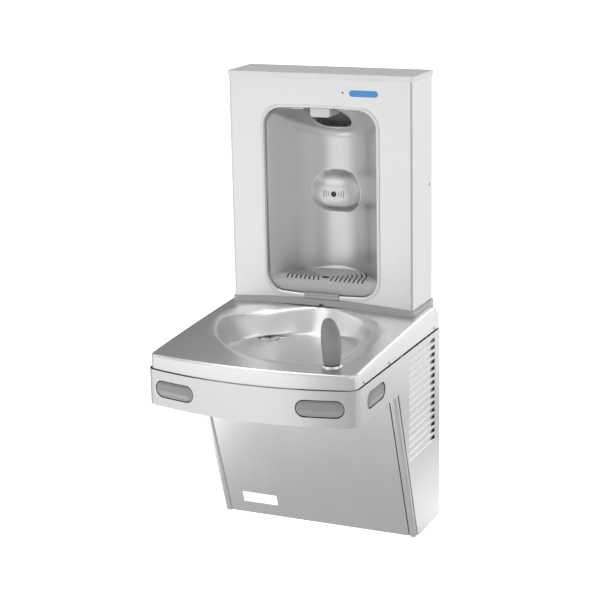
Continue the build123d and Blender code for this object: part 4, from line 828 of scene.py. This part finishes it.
class FOUNTAIN_OT_drip_tray(bpy.types.Operator):
    """Moulds the drip tray: flat to the crease, then curled down to the alcove's rim"""

    bl_idname = "fountain.drip_tray"
    bl_label = "Drip tray"

    def execute(self, context):
        across, flat_rows, lip_rows = 120, 10, 22
        reach = ALCOVE_HALF - 0.0015
        inside = ALCOVE_HALF - ALCOVE_CORNER

        def rim_height(x):
            over = max(0.0, abs(x) - inside)
            bow = ALCOVE_BOW * (1 - (min(abs(x), inside) / ALCOVE_HALF) ** 2)
            low = ALCOVE_LOW + ALCOVE_BOW - bow
            return low + ALCOVE_CORNER - math.sqrt(max(0.0, ALCOVE_CORNER**2 - over**2))

        def point(i, j):
            t = i / across * 2 - 1
            x = reach * math.sin(math.radians(90 * t))
            back = alcove_wall(x, TRAY_Z + 0.02, 0.2, 0.0)
            front = RIM_BACK_Y
            low = min(TRAY_Z, rim_height(x) + 0.0008)
            start = min(back, TRAY_FLAT_Y)
            if j <= flat_rows:
                return Vector((x, back + (start - back) * j / flat_rows, TRAY_Z))
            step = (j - flat_rows) / lip_rows
            crease = min(TRAY_CREASE, TRAY_Z - low)
            if step < LIP_SHARE:
                part = step / LIP_SHARE
                return Vector((x, start + (front + LIP_NOSE - start) * part, TRAY_Z - crease * part**1.7))
            part = (step - LIP_SHARE) / (1 - LIP_SHARE)
            bulge = LIP_BULGE * math.sin(math.pi * part) * (TRAY_Z - low) / (TRAY_Z - ALCOVE_LOW)
            drop = TRAY_Z - crease + (low - TRAY_Z + crease) * part
            return Vector((x, front + LIP_NOSE - LIP_NOSE * part**0.6 - bulge, drop))

        mesh = sheet_from(across, flat_rows + lip_rows, point, closed=False)
        outward(mesh, Vector((0.0, -0.06, TRAY_Z)), Vector((0.0, 0.0, 1.0)))
        piece = finish_piece(
            mesh, "tray_moulding", "tray_slotted", "tray_grey", "cabinet", "drip_tray"
        )
        thicken(piece, 0.002)
        return {"FINISHED"}


# ---------------------------------------------------------------- push pads
PAD_LONG = 0.098
PAD_HIGH = 0.034
PAD_Z = 0.0045
APRON_HALF = 0.2365
APRON_FRONT = -0.539
PAD_FRONT_X = 0.1635
PAD_SIDE_Y = -0.397
PAD_BACK = 0.019
# Depth where the edge's round starts, its rise, and the share of the pad that is its face.
PAD_EDGE = 0.003
PAD_EDGE_RISE = 0.0022
PAD_FACE = 0.90


def pad_place(x, side):
    """Matrix from a pad's own frame (across, up, out) to its place on the apron."""
    radius = (APRON_HALF**2 + BASIN_BOW**2) / (2 * BASIN_BOW)
    if side:
        spot, swing = Vector((side * APRON_HALF, PAD_SIDE_Y, PAD_Z)), side * math.pi / 2
    else:
        swing = math.asin(x / radius)
        spot = Vector((x, radius * (1 - math.cos(swing)) + APRON_FRONT, PAD_Z))
    across = Vector((math.cos(swing), math.sin(swing), 0.0))
    out = Vector((math.sin(swing), -math.cos(swing), 0.0))
    up = Vector((0.0, 0.0, 1.0))
    return Matrix.Translation(spot) @ Matrix((across, up, out)).transposed().to_4x4()


def pad_mesh(place, ridge):
    """A moulded pad: round ends, soft edge, a ridge along it with the lower facet leaning down."""
    half, cap = PAD_LONG / 2 - PAD_HIGH / 2, PAD_HIGH / 2
    count = 96
    levels = [(1.0, -PAD_BACK, 0), (1.0, -2 * PAD_EDGE, 0), (1.0, -PAD_EDGE, 0)]
    for step in range(1, 6):
        swing = math.radians(90 * step / 5)
        share = 1.0 - (1.0 - PAD_FACE) * (1 - math.cos(swing))
        levels.append((share, PAD_EDGE_RISE * math.sin(swing) - PAD_EDGE, 0))
    for step in range(1, 15):
        levels.append((PAD_FACE * (1 - step / 14), PAD_EDGE_RISE - PAD_EDGE, 1))

    def point(i, j):
        share, out, on_face = levels[j]
        angle = 2 * math.pi * i / count
        a, b = math.cos(angle), math.sin(angle)
        a = math.copysign(abs(a) ** 0.75, a)
        stretch = half * math.tanh(3.2 * a) / math.tanh(3.2)
        x = stretch * share + cap * math.cos(angle) * share
        z = cap * b * share
        if on_face:
            lower = ease((-z - 0.002) / 0.010)
            upper = ease((z + 0.002) / 0.020)
            rise = ease((PAD_FACE - share) / 0.16)
            out += rise * (ridge + PAD_EDGE - PAD_EDGE_RISE - 0.0022 * lower - 0.0006 * upper)
        return place @ Vector((x, z, out))

    mesh = sheet_from(count, len(levels) - 1, point, closed=True)
    bmesh.ops.holes_fill(mesh, edges=[edge for edge in mesh.edges if edge.is_boundary], sides=0)
    return mesh


class FOUNTAIN_OT_push_pads(bpy.types.Operator):
    """Moulds the four push pads"""

    bl_idname = "fountain.push_pads"
    bl_label = "Push pads"

    def execute(self, context):
        ridge = context.scene.fountain_sizes.pad_ridge
        places = {
            "front_left": pad_place(-PAD_FRONT_X, 0), "front_right": pad_place(PAD_FRONT_X, 0),
            "side_left": pad_place(0.0, -1), "side_right": pad_place(0.0, 1),
        }
        for side, place in places.items():
            mesh = pad_mesh(place, ridge)
            face = place @ Vector((0.0, 0.0, 0.0))
            outward(mesh, face, place.to_3x3() @ Vector((0.0, 0.0, 1.0)))
            finish_piece(
                mesh, "pad_" + side, "pad_grey", "pad_grey", "pad_" + side, "push_pad_" + side
            )
        return {"FINISHED"}


# ---------------------------------------------------------------- mouth guard
GUARD_FOOT = Vector((0.166, -0.461, 0.0806))
# Height share, lean towards the bowl, half length, half width.
GUARD_STATIONS = [
    (0.00, 0.000, 0.0175, 0.0165), (0.03, 0.0000, 0.0182, 0.0172), (0.15, -0.0005, 0.0190, 0.0184),
    (0.32, 0.0000, 0.0210, 0.0196), (0.48, 0.0015, 0.0222, 0.0202), (0.62, 0.0040, 0.0222, 0.0196),
    (0.74, 0.0070, 0.0208, 0.0180), (0.84, 0.0102, 0.0180, 0.0156), (0.92, 0.0130, 0.0142, 0.0124),
    (0.97, 0.0146, 0.0096, 0.0086), (0.992, 0.0152, 0.0052, 0.0048), (1.00, 0.0154, 0.0010, 0.0008),
]


class FOUNTAIN_OT_mouth_guard(bpy.types.Operator):
    """Moulds the flexible hood over the bubbler"""

    bl_idname = "fountain.mouth_guard"
    bl_label = "Mouth guard"

    def execute(self, context):
        height = context.scene.fountain_sizes.guard_height
        count, rows = 72, 40
        knee = rows * 0.3
        lean_way = (DRAIN - GUARD_FOOT.to_2d()).normalized().to_3d()
        side_way = Vector((-lean_way.y, lean_way.x, 0.0))

        def station(share):
            for low, high in zip(GUARD_STATIONS, GUARD_STATIONS[1:]):
                if share <= high[0] + 1e-9:
                    t = (share - low[0]) / (high[0] - low[0])
                    return [a + (b - a) * t for a, b in zip(low, high)]
            return GUARD_STATIONS[-1]

        def point(i, j):
            if j > knee:
                share = math.sin(math.radians(90 * j / rows))
            else:
                share = math.sin(math.radians(90 * knee / rows)) * j / knee
            _, lean, half_long, half_wide = station(share)
            angle = 2 * math.pi * i / count
            a, b = math.cos(angle), math.sin(angle)
            front = 1.0 - 0.10 * max(0.0, a) ** 2
            crease = sum(0.0008 * math.exp(-((angle - fold) / 0.10) ** 2) for fold in (2.2, 4.08))
            mouth = 0.0030 * math.exp(-((share - 0.30) / 0.06) ** 2) * max(0.0, a) ** 6
            along = lean + half_long * front * a + crease * a - mouth
            across = half_wide * b + crease * b
            up = Vector((0.0, 0.0, height * share + 0.001))
            return GUARD_FOOT + lean_way * along + side_way * across + up

        mesh = sheet_from(count, rows, point, closed=True)
        bmesh.ops.remove_doubles(mesh, verts=mesh.verts, dist=0.0002)
        bmesh.ops.holes_fill(mesh, edges=[edge for edge in mesh.edges if edge.is_boundary], sides=0)
        outward(mesh, GUARD_FOOT + Vector((0.02, -0.02, 0.04)), Vector((0.7, -0.7, 0.0)))
        piece = finish_piece(
            mesh, "mouth_guard", "guard_rubber", "guard_rubber", "cabinet", "bubbler_guard"
        )
        soft = piece.modifiers.new("soft", "SUBSURF")
        soft.levels = 1
        soft.render_levels = 1
        return {"FINISHED"}


# ---------------------------------------------------------------- printed arcs beside the sensor
class FOUNTAIN_OT_sensor_marks(bpy.types.Operator):
    """Lays the thin arcs on both sides of the bottle sensor"""

    bl_idname = "fountain.sensor_marks"
    bl_label = "Sensor marks"

    def execute(self, context):
        width = context.scene.fountain_sizes.mark_width
        mesh = bmesh.new()
        face_y = BOSS_WALL_Y - context.scene.fountain_sizes.boss_height - 0.00005
        for side in (0.0, 180.0):
            for radius, sweep in ((0.0120, 50.0), (0.0178, 44.0), (0.0236, 40.0)):
                start = math.radians(side - sweep / 2)
                ends = []
                for reach in (radius, radius + width):
                    spot = Vector((math.cos(start) * reach, face_y, BOSS_Z + math.sin(start) * reach))
                    ends.append(mesh.verts.new(spot))
                edge = mesh.edges.new(ends)
                bmesh.ops.spin(
                    mesh, geom=ends + [edge], cent=(0.0, face_y, BOSS_Z), axis=(0.0, -1.0, 0.0),
                    angle=math.radians(sweep), steps=12, use_merge=False,
                )
        outward(mesh, Vector((0.012, face_y, BOSS_Z)), Vector((0.0, -1.0, 0.0)))
        for face in mesh.faces:
            if face.normal.y > 0.0:
                face.normal_flip()
        piece = finish_piece(mesh, "sensor_marks", "lens_black", "lens_black", "cabinet")
        skin = piece.modifiers.new("wall", "SOLIDIFY")
        skin.thickness = 0.0001
        skin.offset = 1.0
        return {"FINISHED"}


# ---------------------------------------------------------------- finishes on the other parts
made_finishes = {}


def studio_finishes():
    """The finishes, made once."""
    if not made_finishes:
        made_finishes.update(finishes(bpy.context.scene.fountain_colours))
    return made_finishes


class FOUNTAIN_OT_finishes(bpy.types.Operator):
    """Gives every other part its finish"""

    bl_idname = "fountain.finishes"
    bl_label = "Finishes"

    def execute(self, context):
        materials = studio_finishes()
        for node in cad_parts.values():
            slot = node.data.materials[0].name.split(".")[0]
            if slot not in materials:
                raise RuntimeError("no finish is made for " + slot)
            for place in node.material_slots:
                place.material = materials[slot]
        return {"FINISHED"}


# ---------------------------------------------------------------- studio
CAMERA_PLACE = (1.4319, -3.4316, 1.0668)
# Degrees the camera is turned from straight on, tipped down and leaned sideways.
CAMERA_TURN, CAMERA_TIP, CAMERA_LEAN = 24.166, 14.764, -1.157
CAMERA_LENS = 100.9
FLOOR_Z = -0.78
FLOOR_HALF = 45.0
BOX_DISTANCE = 2.5
STUDIO_MIDDLE = Vector((0.0, -0.25, 0.1))
# The unlit corner of the room, behind and to the left.
DARK_WAY = (-0.603, 0.784, 0.151)
# Name, azimuth from +X, elevation, width and height, power in watts.
SOFT_BOXES = (
    ("front_left_low", 249, -5, (2.2, 1.5), 6.4),
    ("left_low", 203, -5, (2.0, 1.4), 4.6),
    ("back_right_low", 56, -4, (1.8, 1.4), 4.4),
    ("right", 15, 0, (1.6, 1.4), 5.4),
    ("front_left_high", 243, 36, (1.6, 1.3), 6.0),
    ("left", 180, 28, (1.2, 1.2), 2.4),
    ("back_right", 66, 24, (1.2, 1.2), 6.0),
    ("front_right", 320, 22, (1.4, 1.2), 3.6),
    ("right_high", 0, 52, (1.2, 1.2), 4.0),
    ("top", 190, 72, (1.3, 1.3), 14.0),
)
# Boxes lying on the floor, facing up: name, x, y, power.
FLOOR_BOXES = (
    ("bounce_left", -1.0, -0.8, 4.6), ("bounce_front", -0.3, -1.3, 3.0), ("bounce_back", 0.3, 1.1, 2.0),
)


def soft_box(name, azimuth, elevation, size, power):
    """A soft box at a set distance from the fountain, facing it, unseen by the camera itself."""
    data = bpy.data.lights.new(name, "AREA")
    data.shape = "RECTANGLE"
    data.size, data.size_y = size
    data.energy = power
    lamp = bpy.data.objects.new(name, data)
    bpy.context.scene.collection.objects.link(lamp)
    turn, lift = math.radians(azimuth), math.radians(elevation)
    out = Vector((math.cos(lift) * math.cos(turn), math.cos(lift) * math.sin(turn), math.sin(lift)))
    facing = out.to_track_quat("Z", "Y").to_matrix().to_4x4()
    lamp.matrix_world = Matrix.Translation(STUDIO_MIDDLE + out * BOX_DISTANCE) @ facing
    lamp.visible_camera = False
    return lamp


class FOUNTAIN_OT_studio(bpy.types.Operator):
    """Sets the floor, the soft light and the camera"""

    bl_idname = "fountain.studio"
    bl_label = "Studio"

    def execute(self, context):
        scene = context.scene
        mesh = bmesh.new()
        bmesh.ops.create_grid(mesh, x_segments=8, y_segments=8, size=FLOOR_HALF)
        bmesh.ops.translate(mesh, verts=mesh.verts, vec=(0.0, 0.0, FLOOR_Z))
        data = bpy.data.meshes.new("studio_floor")
        mesh.to_mesh(data)
        mesh.free()
        floor = bpy.data.objects.new("studio_floor", data)
        scene.collection.objects.link(floor)
        paint = new_paint("floor_pale")
        data.materials.append(paint.surface(
            Base_Color=speckled(paint, scene.fountain_colours.backdrop, paint.object_place(), 2.0, 0.004),
            Roughness=0.9, Emission_Color=(1.0, 1.0, 1.0, 1.0), Emission_Strength=1.0,
        ))
        floor.visible_glossy = False

        world = bpy.data.worlds.new("studio_sky")
        scene.world = world
        sky = Paint(world)
        way = sky.node("ShaderNodeTexCoord", output="Generated")
        facing = sky.node(
            "ShaderNodeVectorMath", {"operation": "DOT_PRODUCT"}, {0: way, 1: DARK_WAY}, output="Value"
        )
        facing = sky.node("ShaderNodeMath", {"operation": "MAXIMUM"}, {0: facing, 1: 0.0})
        glow = 0.58 - facing ** 12.0 * 0.53
        shine = sky.node("ShaderNodeBackground", inputs={"Color": (1.0, 1.0, 1.0, 1.0), "Strength": glow})
        sky.node("ShaderNodeOutputWorld", inputs={"Surface": shine})
        for name, azimuth, elevation, size, power in SOFT_BOXES:
            soft_box(name, azimuth, elevation, size, power)
        for name, x, y, power in FLOOR_BOXES:
            lamp = soft_box(name, 0.0, 90.0, (0.8, 0.8), power)
            lamp.matrix_world = Matrix.Translation((x, y, FLOOR_Z + 0.01)) @ Matrix.Rotation(math.pi, 4, "X")

        lens = bpy.data.cameras.new("studio_camera")
        lens.lens = CAMERA_LENS
        lens.sensor_width = 36.0
        lens.clip_end = 200.0
        camera = bpy.data.objects.new("studio_camera", lens)
        scene.collection.objects.link(camera)
        turned = (
            Matrix.Rotation(math.radians(CAMERA_TURN), 4, "Z")
            @ Matrix.Rotation(math.radians(90 - CAMERA_TIP), 4, "X")
            @ Matrix.Rotation(math.radians(CAMERA_LEAN), 4, "Z")
        )
        camera.matrix_world = Matrix.Translation(CAMERA_PLACE) @ turned
        scene.camera = camera
        scene.view_settings.view_transform = "Standard"
        return {"FINISHED"}


class FOUNTAIN_PT_panel(bpy.types.Panel):
    """Lists the fountain's pieces and settings"""

    bl_idname = "FOUNTAIN_PT_panel"
    bl_label = "Fountain"
    bl_space_type = "VIEW_3D"
    bl_region_type = "UI"
    bl_category = "Fountain"

    def draw(self, context):
        for group in (context.scene.fountain_sizes, context.scene.fountain_colours):
            box = self.layout.box()
            for name in group.__annotations__:
                box.prop(group, name)
        for operator in OPERATORS:
            self.layout.operator(operator.bl_idname)


OPERATORS = (
    FOUNTAIN_OT_studio, FOUNTAIN_OT_finishes, FOUNTAIN_OT_basin, FOUNTAIN_OT_alcove, FOUNTAIN_OT_drip_tray,
    FOUNTAIN_OT_push_pads, FOUNTAIN_OT_mouth_guard, FOUNTAIN_OT_sensor_marks,
)
CLASSES = (FountainSizes, FountainColours) + OPERATORS + (FOUNTAIN_PT_panel,)


def register():
    for cls in CLASSES:
        bpy.utils.register_class(cls)
    bpy.types.Scene.fountain_sizes = bpy.props.PointerProperty(type=FountainSizes)
    bpy.types.Scene.fountain_colours = bpy.props.PointerProperty(type=FountainColours)


def unregister():
    del bpy.types.Scene.fountain_colours
    del bpy.types.Scene.fountain_sizes
    for cls in reversed(CLASSES):
        bpy.utils.unregister_class(cls)


def main():
    register()
    bpy.ops.fountain.studio()
    bpy.ops.fountain.finishes()
    bpy.ops.fountain.basin()
    bpy.ops.fountain.alcove()
    bpy.ops.fountain.drip_tray()
    bpy.ops.fountain.push_pads()
    bpy.ops.fountain.mouth_guard()
    bpy.ops.fountain.sensor_marks()


if __name__ == "__main__":
    main()
